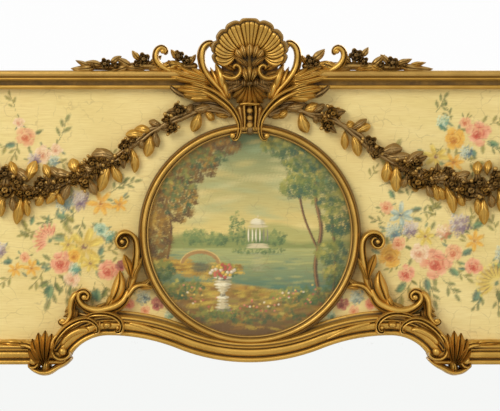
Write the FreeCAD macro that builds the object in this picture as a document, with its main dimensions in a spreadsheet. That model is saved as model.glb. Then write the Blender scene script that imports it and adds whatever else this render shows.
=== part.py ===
# Trumeau mirror: a carved and painted overmantel mirror, in millimetres.
# X runs to the viewer's right, Y runs back into the wall and Z up. The origin
# is the middle of the frame's foot, on the plane where its back meets the wall.
import FreeCAD, Part
import math
import os
import Sketcher
from FreeCAD import Placement, Rotation, Vector

SIZES = (
    ("frame_width", 1400, "width over the side mouldings"),
    ("frame_height", 1720, "height to the top moulding's upper face"),
    ("carcass_depth", 33, "wall to the front of the painted boards"),
    ("rebate_depth", 15, "depth of the front rebate"),
    ("lip_width", 25, "width of the lip outside the front rebate"),
    ("stile_width", 70, "width of the uprights"),
    ("top_rail_height", 70, "height of the top rail"),
    ("bottom_rail_height", 80, "height of the bottom rail"),
    ("middle_rail_height", 80, "height of the rail behind the boards' foot"),
    ("middle_rail_rise", 26, "foot of the middle rail above the centre of the sight edge"),
    ("tenon_length", 40, "length of each tenon"),
    ("tenon_inset", 10, "tenon's shoulders at its edges"),
    ("tenon_thickness", 8, "thickness of each tenon"),
    ("tenon_setback", 10, "back of the carcass to the back of a tenon"),
    ("peg_radius", 4, "pegs through the tenons"),
    ("peg_spacing", 24, "distance between a joint's two pegs"),
    ("back_rebate_depth", 8, "rebate behind for the backboards"),
    ("back_rebate_width", 12, "width of that rebate"),
    ("backboard_gap", 0.5, "gap between backboards"),
    ("nail_radius", 1.5, "backboard nails"),
    ("nail_length", 14, "backboard nails"),
    ("nail_edge", 6, "nail to the end of its board"),
    ("plate_thickness", 5, "mirror plate"),
    ("plate_clearance", 1, "plate to the sides of its rebate"),
    ("plate_lap", 20, "plate above the highest point of the sight edge"),
    ("slip_width", 5.5, "glazing slips"),
    ("board_clearance", 0.5, "painted boards to the sides of their rebate"),
    ("board_lap", 6, "painted boards' foot above the sight edge"),
    ("moulding_width", 31, "face width of the frame moulding"),
    ("moulding_depth", 28, "how far the frame moulding stands out"),
    ("sight_drop", 496.4, "frame's top down to the sight edge at its centre"),
    ("side_drop", 500, "frame's top down to the straight sides of the sight edge"),
    ("arch_offset", 240, "centre line to the top of each small arch"),
    ("arch_rise", 46, "rise of the sight edge from its centre to the arches"),
    ("centre_radius", 331, "hollow middle curve of the sight edge"),
    ("end_radius", 78, "tight outer curve of the sight edge"),
    ("apron_width", 42, "face width of the serpentine moulding"),
    ("apron_depth", 25, "how far the serpentine moulding stands out"),
    ("ring_drop", 279, "frame's top down to the centre of the round frame"),
    ("ring_radius", 190, "outer radius of the round frame"),
    ("ring_width", 18, "face width of the round frame"),
    ("ring_depth", 22, "how far the round frame stands out"),
    ("ring_lap", 6, "width of the rebate behind the round frame"),
    ("picture_thickness", 6, "board of the round picture"),
    ("hanging_rail_drop", 125, "frame's top down to the middle of the hanging rail"),
    ("hanging_rail_height", 70, "height of the hanging rail"),
    ("hanging_rail_setback", 10, "wall to the back of the hanging rail"),
    ("hanger_offset", 430, "centre line to each hanger"),
    ("strap_thickness", 1.5, "hanger straps"),
    ("strap_width", 16, "hanger straps"),
    ("strap_length", 46, "hanger straps above their pivot"),
    ("pivot_setback", 5.5, "wall to the rings' pivot line"),
    ("pivot_drop", 20, "middle of the hanging rail down to the pivot line"),
    ("ring_wire", 2.5, "radius of the hanging rings' wire"),
    ("loop_radius", 20, "middle radius of the hanging rings"),
    ("pivot_clearance", 0.1, "ring's bar in its knuckle"),
    ("knuckle_wall", 1.6, "wall of the rolled knuckle"),
    ("screw_radius", 2, "hanger screws"),
    ("screw_head", 3.8, "radius of their heads"),
    ("screw_length", 8, "hanger screws"),
    ("crest_width", 96, "block behind the shell"),
    ("crest_height", 62, "block behind the shell"),
    ("crest_depth", 26, "block behind the shell"),
    ("crest_setback", 20, "wall to the back of the crest block"),
    ("dowel_radius", 5, "dowels under the crest block"),
    ("dowel_length", 40, "dowels under the crest block"),
    ("offcut_volume", 900, "scribed carvings lose offcuts under this volume"),
    ("swag_drop", 201, "frame's top down to the lowest point of each swag's stem"),
    ("swag_low", 370, "centre line to that lowest point"),
    ("swag_margin", 70, "frame's outer edge to the rosette at each swag's end"),
    ("rosette_drop", 80, "frame's top down to those rosettes"),
)

doc = FreeCAD.newDocument("TrumeauMirror")
nodes = []


def text_of(value):
    """The expression behind a value."""
    return value.text if isinstance(value, Size) else repr(float(value))


def combined(first, symbol, second, value):
    """A new size from two others and the arithmetic between them."""
    return Size(value, f"({text_of(first)} {symbol} {text_of(second)})")


class Size(float):
    """A length from the sheet that keeps the expression it comes from."""

    def __new__(cls, value, text):
        size = super().__new__(cls, value)
        size.text = text
        return size

    def __add__(self, other):
        return combined(self, "+", other, float(self) + float(other))

    def __radd__(self, other):
        return combined(other, "+", self, float(other) + float(self))

    def __sub__(self, other):
        return combined(self, "-", other, float(self) - float(other))

    def __rsub__(self, other):
        return combined(other, "-", self, float(other) - float(self))

    def __mul__(self, other):
        return combined(self, "*", other, float(self) * float(other))

    def __rmul__(self, other):
        return combined(other, "*", self, float(other) * float(self))

    def __truediv__(self, other):
        return combined(self, "/", other, float(self) / float(other))

    def __neg__(self):
        return combined(0, "-", self, -float(self))


class Sheet:
    """The driving dimensions, by name."""

    def __init__(self):
        sheet = doc.addObject("Spreadsheet::Sheet", "Sizes")
        for row, (alias, value, note) in enumerate(SIZES, start=1):
            sheet.set(f"A{row}", alias)
            sheet.set(f"B{row}", str(value))
            sheet.set(f"C{row}", note)
            sheet.setAlias(f"B{row}", alias)
        doc.recompute()
        for alias, value, note in SIZES:
            setattr(self, alias, Size(sheet.get(alias), f"Sizes.{alias}"))


s = Sheet()
half_width = s.frame_width / 2
stile_inner = half_width - s.stile_width
rebate_side = half_width - s.lip_width
board_front = -s.carcass_depth
rebate_floor = s.rebate_depth - s.carcass_depth
glass_front = rebate_floor - s.plate_thickness
moulding_inner = half_width - s.moulding_width
sight_centre = s.frame_height - s.sight_drop
sight_side = s.frame_height - s.side_drop
arch_top = sight_centre + s.arch_rise
ring_centre = s.frame_height - s.ring_drop
middle_rail_foot = sight_centre + s.middle_rail_rise
pivot_height = s.frame_height - s.hanging_rail_drop - s.pivot_drop
hanging_rail_back = -s.hanging_rail_setback
plate_top = arch_top + s.plate_lap
rosette_x = half_width - s.swag_margin
rosette_height = s.frame_height - s.rosette_drop
swag_height = s.frame_height - s.swag_drop


def keep(thing):
    """Count a finished piece as one of the object's nodes."""
    nodes.append(thing)
    return thing


def bound(thing, **sizes):
    """Tie an object's sizes to the sheet."""
    for name, value in sizes.items():
        if isinstance(value, Size):
            thing.setExpression(name, value.text)
        else:
            setattr(thing, name, value)
    return thing


def placed(thing, x=0, y=0, z=0, rotation=None):
    """Put an object at a place tied to the sheet."""
    thing.Placement = Placement(Vector(x, y, z), rotation or Rotation())
    for axis, value in zip("xyz", (x, y, z)):
        if isinstance(value, Size):
            thing.setExpression(f"Placement.Base.{axis}", value.text)
    return thing


def box(name, x, y, z):
    """A squared piece between two positions on each axis."""
    solid = doc.addObject("Part::Box", name)
    bound(solid, Length=x[1] - x[0], Width=y[1] - y[0], Height=z[1] - z[0])
    return placed(solid, x[0], y[0], z[0])


def pin(name, radius, length, x, y, z, axis):
    """A round piece from a point along an axis."""
    solid = doc.addObject("Part::Cylinder", name)
    bound(solid, Radius=radius, Height=length)
    return placed(solid, x, y, z, Rotation(Vector(0, 0, 1), axis))


def group(name, pieces):
    """Like pieces, still separate solids, in one node."""
    compound = doc.addObject("Part::Compound", name)
    compound.Links = pieces
    return compound


def joined(name, pieces):
    """Pieces made as one."""
    fuse = doc.addObject("Part::MultiFuse", name)
    fuse.Shapes = pieces
    return fuse


def cut(name, base, tool):
    """A piece with another's space taken out of it."""
    result = doc.addObject("Part::Cut", name)
    result.Base = base
    result.Tool = tool
    return result


def feature(name, shape):
    """A piece whose outline is worked out from the sheet's sizes."""
    thing = doc.addObject("Part::Feature", name)
    thing.Shape = shape
    return thing


# ---- sketches, each corner held by two sizes ----------------------------------

def origin_part(body, role):
    """One of a body's own planes or axes."""
    return next(part for part in body.Origin.OriginFeatures if part.Role == role)


def outline(body, name, role, corners):
    """A closed outline on one of the body's planes."""
    sketch = body.newObject("Sketcher::SketchObject", name)
    sketch.AttachmentSupport = (origin_part(body, role), [""])
    sketch.MapMode = "FlatFace"
    count = len(corners)
    places = [Vector(float(u), float(v), 0) for u, v in corners]
    for index in range(count):
        sketch.addGeometry(Part.LineSegment(places[index], places[(index + 1) % count]))
    for index, corner in enumerate(corners):
        following = (index + 1) % count
        sketch.addConstraint(Sketcher.Constraint("Coincident", index, 2, following, 1))
        for kind, value in zip(("DistanceX", "DistanceY"), corner):
            row = sketch.addConstraint(
                Sketcher.Constraint(kind, -1, 1, index, 1, float(value)))
            if isinstance(value, Size):
                sketch.setExpression(f"Constraints[{row}]", value.text)
    return sketch


def padded(body, sketch, length, both_ways=False):
    """The outline made solid."""
    pad = body.newObject("PartDesign::Pad", sketch.Name + "_pad")
    pad.Profile = sketch
    if both_ways:
        pad.SideType = 2
    bound(pad, Length=length)
    body.Tip = pad
    return pad


# ---- carcass ------------------------------------------------------------------

def tenon(name, side, low, high):
    """One rail's tenon in a stile."""
    reach = stile_inner + s.tenon_length
    x = (stile_inner, reach) if side > 0 else (-reach, -stile_inner)
    back = -s.tenon_setback
    y = (back - s.tenon_thickness, back)
    return box(name, x, y, (low + s.tenon_inset, high - s.tenon_inset))


RAILS = {
    "top_rail": (s.frame_height - s.top_rail_height, s.frame_height),
    "middle_rail": (middle_rail_foot, middle_rail_foot + s.middle_rail_height),
    "bottom_rail": (0, s.bottom_rail_height),
}
hanging_middle = s.frame_height - s.hanging_rail_drop
HANGING_RAIL = (
    hanging_middle - s.hanging_rail_height / 2, hanging_middle + s.hanging_rail_height / 2)


def pegs():
    """Two pegs through each tenon of the three main rails."""
    made = []
    for rail, (low, high) in RAILS.items():
        for side in (-1, 1):
            for step in (-1, 1):
                middle = (low + high) / 2 + step * s.peg_spacing / 2
                x = side * (stile_inner + s.tenon_length / 2)
                made.append(pin(f"{rail}_peg", s.peg_radius, s.carcass_depth - s.rebate_depth,
                                x, rebate_floor, middle, Vector(0, 1, 0)))
    return group("corner_pegs", made)


def nails():
    """A nail at each corner of every backboard."""
    made = []
    low = s.bottom_rail_height - s.back_rebate_width + s.nail_edge
    high = middle_rail_foot + s.back_rebate_width - s.nail_edge
    for edge in board_edges():
        for x in (edge[0] + s.nail_edge * 2, edge[1] - s.nail_edge * 2):
            for z in (low, high):
                made.append(pin("backboard_nail", s.nail_radius, s.nail_length,
                                x, -s.nail_length, z, Vector(0, 1, 0)))
    return group("backboard_nails", made)


def board_edges():
    """The two sides of each backboard, left to right."""
    count = 4
    span = stile_inner + s.back_rebate_width - s.backboard_gap
    width = span * 2 / count
    edges = []
    for index in range(count):
        left = width * index - span
        edges.append((left, left + width - s.backboard_gap))
    return edges


def carcass():
    """Stiles, rails, pegs and the nails that hold the backboards."""
    all_pegs = pegs()
    all_nails = nails()
    fasteners = group("fasteners", [all_pegs, all_nails])
    crest_pins = dowels()
    tenons = {}
    for rail, (low, high) in {**RAILS, "hanging_rail": HANGING_RAIL}.items():
        tenons[rail] = [tenon(f"{rail}_tenon", side, low, high) for side in (-1, 1)]

    whole_depth = (board_front, 0)
    opening_low = s.bottom_rail_height - s.back_rebate_width
    opening_high = middle_rail_foot + s.back_rebate_width
    back_side = stile_inner + s.back_rebate_width
    back_space = box("back_rebate", (-back_side, back_side),
                     (-s.back_rebate_depth, 0), (opening_low, opening_high))
    front_space = box("front_rebate", (-rebate_side, rebate_side), (board_front, rebate_floor),
                      (s.lip_width, s.frame_height - s.lip_width))

    for side, name in ((-1, "stile_left"), (1, "stile_right")):
        x = (-half_width, -stile_inner) if side < 0 else (stile_inner, half_width)
        blank = box(name + "_blank", x, whole_depth, (0, s.frame_height))
        mortises = [pair[0 if side < 0 else 1] for pair in tenons.values()]
        spaces = joined(name + "_spaces", [back_space, front_space, *mortises])
        keep(cut(name, cut(name + "_rebated", blank, spaces), fasteners))

    for name, (low, high) in RAILS.items():
        depth = (rebate_floor, 0) if name == "middle_rail" else whole_depth
        blank = box(name + "_blank", (-stile_inner, stile_inner), depth, (low, high))
        spaces = joined(name + "_spaces", [back_space, front_space])
        rebated = cut(name + "_rebated", blank, spaces)
        whole = joined(name + "_whole", [rebated, *tenons[name]])
        holes = group(name + "_holes", [fasteners, crest_pins])
        keep(cut(name, whole, holes))

    blank = box("hanging_rail_blank", (-stile_inner, stile_inner),
                (rebate_floor, hanging_rail_back), HANGING_RAIL)
    whole = joined("hanging_rail_whole", [blank, *tenons["hanging_rail"]])
    keep(cut("hanging_rail", whole, screws()))
    keep(all_pegs)
    keep(all_nails)
    keep(crest_pins)

    for number, edge in enumerate(board_edges(), start=1):
        blank = box(f"backboard_{number}_blank", edge,
                    (-s.back_rebate_depth, 0), (opening_low, opening_high))
        keep(cut(f"backboard_{number}", blank, all_nails))


def dowels():
    """Two dowels that stand the crest block on the top rail."""
    y = -s.crest_setback - s.dowel_radius
    made = [pin("crest_dowel", s.dowel_radius, s.dowel_length, x, y,
                s.frame_height - s.dowel_length / 2, Vector(0, 0, 1))
            for x in (-s.crest_width / 4, s.crest_width / 4)]
    return group("crest_dowels", made)


# ---- mirror plate, its slips and the painted boards -----------------------------

def glazing():
    """The mirror plate and the slips that hold it."""
    plate_side = rebate_side - s.plate_clearance
    plate_foot = s.lip_width + s.plate_clearance
    body = doc.addObject("PartDesign::Body", "mirror_plate")
    corners = [(-plate_side, plate_foot), (plate_side, plate_foot),
               (plate_side, plate_top), (-plate_side, plate_top)]
    padded(body, outline(body, "plate_face", "XZ_Plane", corners), s.plate_thickness)
    placed(body, y=rebate_floor)
    keep(body)

    y = (board_front, glass_front)
    foot = s.lip_width + s.slip_width
    head = sight_side + s.board_lap
    inner = rebate_side - s.slip_width
    slips = [
        box("slip_bottom", (-rebate_side, rebate_side), y, (s.lip_width, foot)),
        box("slip_left", (-rebate_side, -inner), y, (foot, head)),
        box("slip_right", (inner, rebate_side), y, (foot, head)),
    ]
    keep(group("glazing_slips", slips))


def polar(centre_x, centre_z, radius, degrees):
    """A point on an arc, its angle taken from straight up towards the right."""
    angle = math.radians(degrees)
    return Vector(centre_x + radius * math.sin(angle), 0, centre_z + radius * math.cos(angle))


def arc(centre_x, centre_z, radius, first, last):
    """An arc between two such angles."""
    return Part.Arc(*[polar(centre_x, centre_z, radius, angle)
                      for angle in (first, (first + last) / 2, last)]).toShape()


class Serpentine:
    """The curves of the sight edge, and of any line that runs beside it."""

    outer_radius = ((s.arch_offset * s.arch_offset + s.arch_rise * s.arch_rise)
                    / (2 * s.arch_rise) - s.centre_radius)
    hollow_centre = sight_centre + s.centre_radius
    swell_centre = arch_top - outer_radius
    end_centre = arch_top - s.end_radius
    turn = math.degrees(math.asin(s.arch_offset / (outer_radius + s.centre_radius)))

    def end_turn(self, lift):
        """Where the end curve meets the straight side, for a line raised by lift."""
        cosine = (sight_side + lift - self.end_centre) / (s.end_radius + lift)
        return math.degrees(math.acos(cosine))

    def corner(self, lift):
        """The meeting point of the end curve and the straight side."""
        return polar(s.arch_offset, self.end_centre, s.end_radius + lift, self.end_turn(lift))

    def edges(self, lift, reach):
        """The whole line, left to right, as far as reach on both sides."""
        turn = self.end_turn(lift)
        inner, swell, end = (s.centre_radius - lift, self.outer_radius + lift,
                             s.end_radius + lift)
        corner = self.corner(lift)
        left, right = Vector(-reach, 0, corner.z), Vector(reach, 0, corner.z)
        return [
            Part.makeLine(left, Vector(-corner.x, 0, corner.z)),
            arc(-s.arch_offset, self.end_centre, end, -turn, 0),
            arc(-s.arch_offset, self.swell_centre, swell, 0, self.turn),
            arc(0, self.hollow_centre, inner, 180 + self.turn, 180 - self.turn),
            arc(s.arch_offset, self.swell_centre, swell, -self.turn, 0),
            arc(s.arch_offset, self.end_centre, end, 0, turn),
            Part.makeLine(corner, right),
        ]


serpentine = Serpentine()


def slab(edges, low, high):
    """A flat outline made solid, between two distances in front of the wall."""
    face = Part.Face(Part.Wire(Part.__sortEdges__(edges)))
    face.translate(Vector(0, -low, 0))
    return face.extrude(Vector(0, low - high, 0))


def polygon(points):
    """Straight edges round a list of (x, z) points."""
    places = [Vector(x, 0, z) for x, z in points]
    return [Part.makeLine(a, b) for a, b in zip(places, places[1:] + places[:1])]


def below(lift, reach, foot, low, high):
    """The space under a line beside the sight edge."""
    line = serpentine.edges(lift, reach)
    level = line[0].Vertexes[0].Z
    sides = [Part.makeLine(Vector(x, 0, level), Vector(x, 0, foot)) for x in (-reach, reach)]
    sides.append(Part.makeLine(Vector(-reach, 0, foot), Vector(reach, 0, foot)))
    return slab(line + sides, low, high)


def painted_boards():
    """Two boards with the serpentine foot, lapped over the plate's upper edge."""
    outer = rebate_side - s.board_clearance
    top = s.frame_height - s.lip_width - s.board_clearance
    foot = sight_centre - s.frame_height / 4
    spare = s.frame_width
    unwanted = below(s.board_lap, spare, foot, 0, s.carcass_depth * 2)
    lap_top = plate_top + s.plate_clearance
    lap = slab(polygon([(-spare, foot), (spare, foot), (spare, lap_top), (-spare, lap_top)]),
               0, -glass_front)
    for name, left, right in (("ground_board_left", -outer, -s.board_clearance / 2),
                              ("ground_board_right", s.board_clearance / 2, outer)):
        blank = slab(polygon([(left, foot), (right, foot), (right, top), (left, top)]),
                     -rebate_floor, s.carcass_depth)
        keep(feature(name, blank.cut([unwanted, lap])))


# ---- mouldings ------------------------------------------------------------------

def frame_profile():
    """Section of the frame moulding: distance in from its edge, and out from its back."""
    wide, deep = s.moulding_width, s.moulding_depth
    return [
        (0, 0), (0, deep - 6), (2, deep - 1), (4, deep),
        (10, deep), (11, deep - 3), (12, deep - 4),
        (13, deep - 1.5), (15, deep - 1.5), (16, deep - 4),
        (18, deep - 10), (wide - 8, deep - 14), (wide - 6.5, deep - 14),
        (wide - 5, deep - 12), (wide - 1.5, deep - 12), (wide, deep - 15), (wide, 0),
    ]


def frame_moulding(name, length, turn, x, z):
    """One straight moulding, mitred at both ends, set along one side of the frame."""
    body = doc.addObject("PartDesign::Body", name)
    section = [(-v, -u) for u, v in frame_profile()]
    padded(body, outline(body, name + "_section", "YZ_Plane", section), length, both_ways=True)
    spare = s.moulding_width * 2
    half = length / 2
    for side in (-1, 1):
        corners = [(side * half, 0),
                   (side * (half - spare), -spare),
                   (side * (half + spare), -spare),
                   (side * (half + spare), spare),
                   (side * half, spare)]
        mitre = outline(body, f"{name}_mitre_{side + 2}", "XZ_Plane", corners)
        pocket = body.newObject("PartDesign::Pocket", mitre.Name + "_cut")
        pocket.Profile = mitre
        pocket.Type = 1
        pocket.Midplane = True
        body.Tip = pocket
    placed(body, x, board_front, z, Rotation(Vector(0, 1, 0), turn))
    return keep(body)


def frame_mouldings():
    """The four sides of the frame."""
    middle = s.frame_height / 2
    frame_moulding("top_moulding", s.frame_width, 0, 0, s.frame_height)
    frame_moulding("bottom_moulding", s.frame_width, 180, 0, 0)
    frame_moulding("side_moulding_left", s.frame_height, -90, -half_width, middle)
    frame_moulding("side_moulding_right", s.frame_height, 90, half_width, middle)


def apron_section(x, foot):
    """The serpentine moulding's section, standing at x, from its sight edge upwards."""
    wide, deep = float(s.apron_width), float(s.apron_depth)
    points = [
        (0, 0), (0, deep - 6), (1.5, deep - 3), (7.5, deep - 3), (9, deep - 6), (11, deep - 6),
        (12.5, deep - 2), (wide - 21, deep), (wide - 19, deep - 2), (wide - 17.5, deep),
        (wide - 15.5, deep), (wide - 14.5, deep - 3), (wide - 10, deep - 4),
        (wide - 7, deep - 12), (wide - 4, deep - 16), (wide, deep - 17), (wide, 0),
    ]
    front = float(board_front)
    places = [Vector(x, front - out, foot + up) for up, out in points]
    return Part.Face(Part.makePolygon(places + places[:1]))


def swept_section(x, foot, centre_x, centre_z, degrees):
    """The section carried round an arc."""
    axis = Vector(0, 1, 0)
    return apron_section(x, foot).revolve(Vector(centre_x, 0, centre_z), axis, degrees)


def apron_mouldings():
    """The serpentine moulding: its middle from arch to arch, and its two ends."""
    line = serpentine
    turn = line.turn
    middle = []
    for side in (-1, 1):
        middle.append(swept_section(0, sight_centre, 0, line.hollow_centre, -side * turn))
        middle.append(swept_section(side * s.arch_offset, arch_top, side * s.arch_offset,
                                    line.swell_centre, -side * turn))
    keep(feature("apron_moulding_centre", middle[0].multiFuse(middle[1:]).removeSplitter()))

    low_corner, high_corner = line.corner(0), line.corner(s.apron_width)
    slope = (high_corner - low_corner) * 4
    for side, name in ((-1, "apron_moulding_left"), (1, "apron_moulding_right")):
        mitre = [(side * p.x, p.z) for p in (low_corner - slope, high_corner + slope)]
        inside = [(side * s.arch_offset / 2, mitre[1][1]), (side * s.arch_offset / 2, mitre[0][1])]
        outside = [(side * half_width, mitre[1][1]), (side * half_width, mitre[0][1])]
        curve = swept_section(side * s.arch_offset, arch_top, side * s.arch_offset,
                              line.end_centre, side * line.end_turn(0))
        start = side * (low_corner.x - s.apron_width)
        run = side * (moulding_inner - abs(start))
        straight = apron_section(start, sight_side).extrude(Vector(run, 0, 0))
        kept = [curve.common(slab(polygon(mitre + inside), 0, s.frame_width)),
                straight.common(slab(polygon(mitre + outside), 0, s.frame_width))]
        keep(feature(name, kept[0].fuse(kept[1]).removeSplitter()))


def ring_profile():
    """The round frame's section: distance out from the board, and its radius."""
    rim, deep = s.ring_radius, s.ring_depth
    inner = s.ring_radius - s.ring_width
    lap = inner + s.ring_lap
    return [
        (-s.picture_thickness, inner), (-s.picture_thickness - 3, inner),
        (-(deep - 6), inner + 3), (-(deep - 4), inner + 4), (-(deep - 4), inner + 5.5),
        (-(deep - 5), inner + 6.5), (-deep, inner + 8.5), (-deep, rim - 5),
        (-(deep - 4), rim - 4), (-(deep - 5), rim - 3), (-(deep - 6), rim - 1),
        (-(deep - 8), rim), (0, rim), (0, lap), (-s.picture_thickness, lap),
    ]


def ring_mouldings():
    """Four quarter segments, the lower two scribed to the serpentine moulding."""
    seat = feature("ring_seat", below(s.apron_width, s.frame_width, s.frame_height / 2,
                                      s.carcass_depth / 2, s.carcass_depth * 3))
    for number in range(4):
        name = f"ring_moulding_{number + 1}"
        body = doc.addObject("PartDesign::Body", name + "_turned")
        section = outline(body, name + "_section", "YZ_Plane", ring_profile())
        turned = body.newObject("PartDesign::Revolution", name + "_turn")
        turned.Profile = section
        turned.ReferenceAxis = (section, ["H_Axis"])
        turned.Angle = 90
        body.Tip = turned
        placed(body, y=board_front, z=ring_centre, rotation=Rotation(Vector(0, 1, 0), 90 * number))
        keep(cut(name, body, seat))

    disc = pin("medallion_disc", s.ring_radius - s.ring_width + s.ring_lap - s.board_clearance,
               s.picture_thickness,
               0, board_front - s.picture_thickness, ring_centre, Vector(0, 1, 0))
    keep(cut("medallion_board", disc, seat))


# ---- hangers --------------------------------------------------------------------

def screws():
    """Two screws through each hanger strap, with their heads."""
    made = []
    plate = hanging_rail_back + s.strap_thickness
    for side in (-1, 1):
        x = side * s.hanger_offset
        for share in (0.6, 0.86):
            z = pivot_height + s.strap_length * share
            shank = pin("screw_shank", s.screw_radius, s.screw_length, x,
                        plate - s.screw_length, z, Vector(0, 1, 0))
            head = pin("screw_head", s.screw_head, s.strap_thickness, x, plate, z,
                       Vector(0, 1, 0))
            made.append(joined("hanger_screw", [shank, head]))
    return group("hanger_screws", made)


def hangers():
    """Strap, knuckle, screws and hanging ring on each side."""
    half_strap = s.strap_width / 2
    bore = s.ring_wire + s.pivot_clearance
    shell = bore + s.knuckle_wall
    all_screws = next(thing for thing in doc.Objects if thing.Label == "hanger_screws")
    straps = []
    for side, word in ((-1, "left"), (1, "right")):
        x = side * s.hanger_offset
        plate = box(f"strap_plate_{word}", (x - half_strap, x + half_strap),
                    (hanging_rail_back, hanging_rail_back + s.strap_thickness),
                    (pivot_height, pivot_height + s.strap_length))
        roll = pin(f"knuckle_{word}", shell, s.strap_width, x - half_strap, -s.pivot_setback,
                   pivot_height, Vector(1, 0, 0))
        hole = pin(f"knuckle_bore_{word}", bore, s.strap_width * 2, x - s.strap_width,
                   -s.pivot_setback, pivot_height, Vector(1, 0, 0))
        strap = cut(f"strap_{word}_bored", joined(f"strap_{word}_blank", [plate, roll]), hole)
        straps.append(cut(f"strap_{word}", strap, all_screws))

        bar = pin(f"ring_bar_{word}", s.ring_wire, s.loop_radius * 2, x - s.loop_radius,
                  -s.pivot_setback, pivot_height, Vector(1, 0, 0))
        loop = doc.addObject("Part::Torus", f"ring_loop_{word}")
        bound(loop, Radius1=s.loop_radius, Radius2=s.ring_wire, Angle3=180)
        placed(loop, x, -s.pivot_setback, pivot_height, Rotation(Vector(1, 0, 0), -90))
        ends = []
        for place in (x - s.loop_radius, x + s.loop_radius):
            ball = doc.addObject("Part::Sphere", f"ring_corner_{word}")
            bound(ball, Radius=s.ring_wire)
            ends.append(placed(ball, place, -s.pivot_setback, pivot_height))
        keep(joined(f"hanging_ring_{word}", [bar, loop, *ends]))
    keep(group("hanger_straps", straps))
    keep(all_screws)


# ---- carving: bands, leaves, flowers and discs, in plan on the wall --------------

BOARD = float(s.carcass_depth)
TOP = float(s.frame_height)
RING = float(ring_centre)
RIM = float(s.ring_radius)


def flipped(points, side):
    """A left-hand list of (x, z) points, or its mirror image for the right."""
    return [(x * -side, z) for x, z in points]


def along(values, share):
    """A value read part of the way along an evenly spaced list."""
    place = share * (len(values) - 1)
    index = min(int(place), len(values) - 2)
    return values[index] + (values[index + 1] - values[index]) * (place - index)


def through(places):
    """A smooth edge through a list of places."""
    curve = Part.BSplineCurve()
    curve.interpolate(places)
    return curve


def band(points, widths, low, high):
    """A carved band that follows a curve, its width changing along it."""
    line = through([Vector(x, 0, z) for x, z in points])
    first, last = line.FirstParameter, line.LastParameter
    steps = len(points) * 2
    sides = ([], [])
    for step in range(steps + 1):
        share = step / steps
        place = first + (last - first) * share
        tangent = line.tangent(place)[0]
        across = Vector(-tangent.z, 0, tangent.x) * (along(widths, share) / 2)
        sides[0].append(line.value(place) + across)
        sides[1].append(line.value(place) - across)
    outline_points = [(place.x, place.z) for place in sides[0] + sides[1][::-1]]
    edges = polygon(outline_points)
    return slab(edges, low, high)


def leaf(base, tip, width, low, high):
    """A pointed leaf from its base to its tip."""
    start, end = Vector(base[0], 0, base[1]), Vector(tip[0], 0, tip[1])
    middle = start * 0.55 + end * 0.45
    run = (end - start).normalize()
    across = Vector(-run.z, 0, run.x) * (width / 2)
    edges = [Part.Arc(start, middle + across * side, end).toShape() for side in (-1, 1)]
    return slab(edges, low, high)


def disc(x, z, radius, low, high):
    """A flat round."""
    return Part.makeCylinder(radius, high - low, Vector(x, -low, z), Vector(0, -1, 0))


def flower(x, z, radius, low, high):
    """An open flower: a dished round with a button in its middle."""
    rise = high - low
    cup = Part.makeCone(radius, radius * 0.7, rise * 0.7, Vector(x, -low, z), Vector(0, -1, 0))
    button = disc(x, z, radius * 0.35, low, high)
    return cup.fuse(button)


def ball(x, z, radius, out):
    """A round bead with its middle a distance in front of the wall."""
    return Part.makeSphere(radius, Vector(x, -out, z))


def raised(points, by_x=0.0, by_z=0.0):
    """Points moved bodily."""
    return [(x + by_x, z + by_z) for x, z in points]


carved = {}


def sound_solids(shape):
    """A scribed carving without its offcuts, its flush faces joined where that holds."""
    solids = []
    for solid in shape.Solids:
        if solid.Volume > s.offcut_volume:
            smooth = solid.removeSplitter()
            solids.append(smooth if smooth.isValid() else solid)
    return solids[0] if len(solids) == 1 else Part.Compound(solids)


def carve(name, pieces, seats):
    """Join a carving's pieces, scribe it to what it sits on, and keep it whole."""
    blank = pieces[0].multiFuse(pieces[1:]) if len(pieces) > 1 else pieces[0]
    touching = [seat for seat in [*seats, *carved.values()]
                if seat.BoundBox.intersect(blank.BoundBox)]
    shape = blank.cut(touching) if touching else blank
    whole = sound_solids(shape)
    carved[name] = whole
    keep(feature(name, whole))
    return whole


def scallops(share):
    """The cockle shell's outline: eleven round lobes, shorter towards its sides."""
    count, spread = 11, 17.5

    def rim(step, depth):
        angle = math.radians(step * spread)
        reach = (86 - 30 * (abs(step) / 5) ** 1.3) * share - depth
        return Vector(math.sin(angle) * reach * 0.94, 0, TOP + 4 + math.cos(angle) * reach)

    ends = [rim(index - count / 2, 6) for index in range(count + 1)]
    edges = [Part.Arc(ends[index], rim(index - count // 2, 0), ends[index + 1]).toShape()
             for index in range(count)]
    edges.append(Part.makeLine(ends[-1], ends[0]))
    return edges


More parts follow.
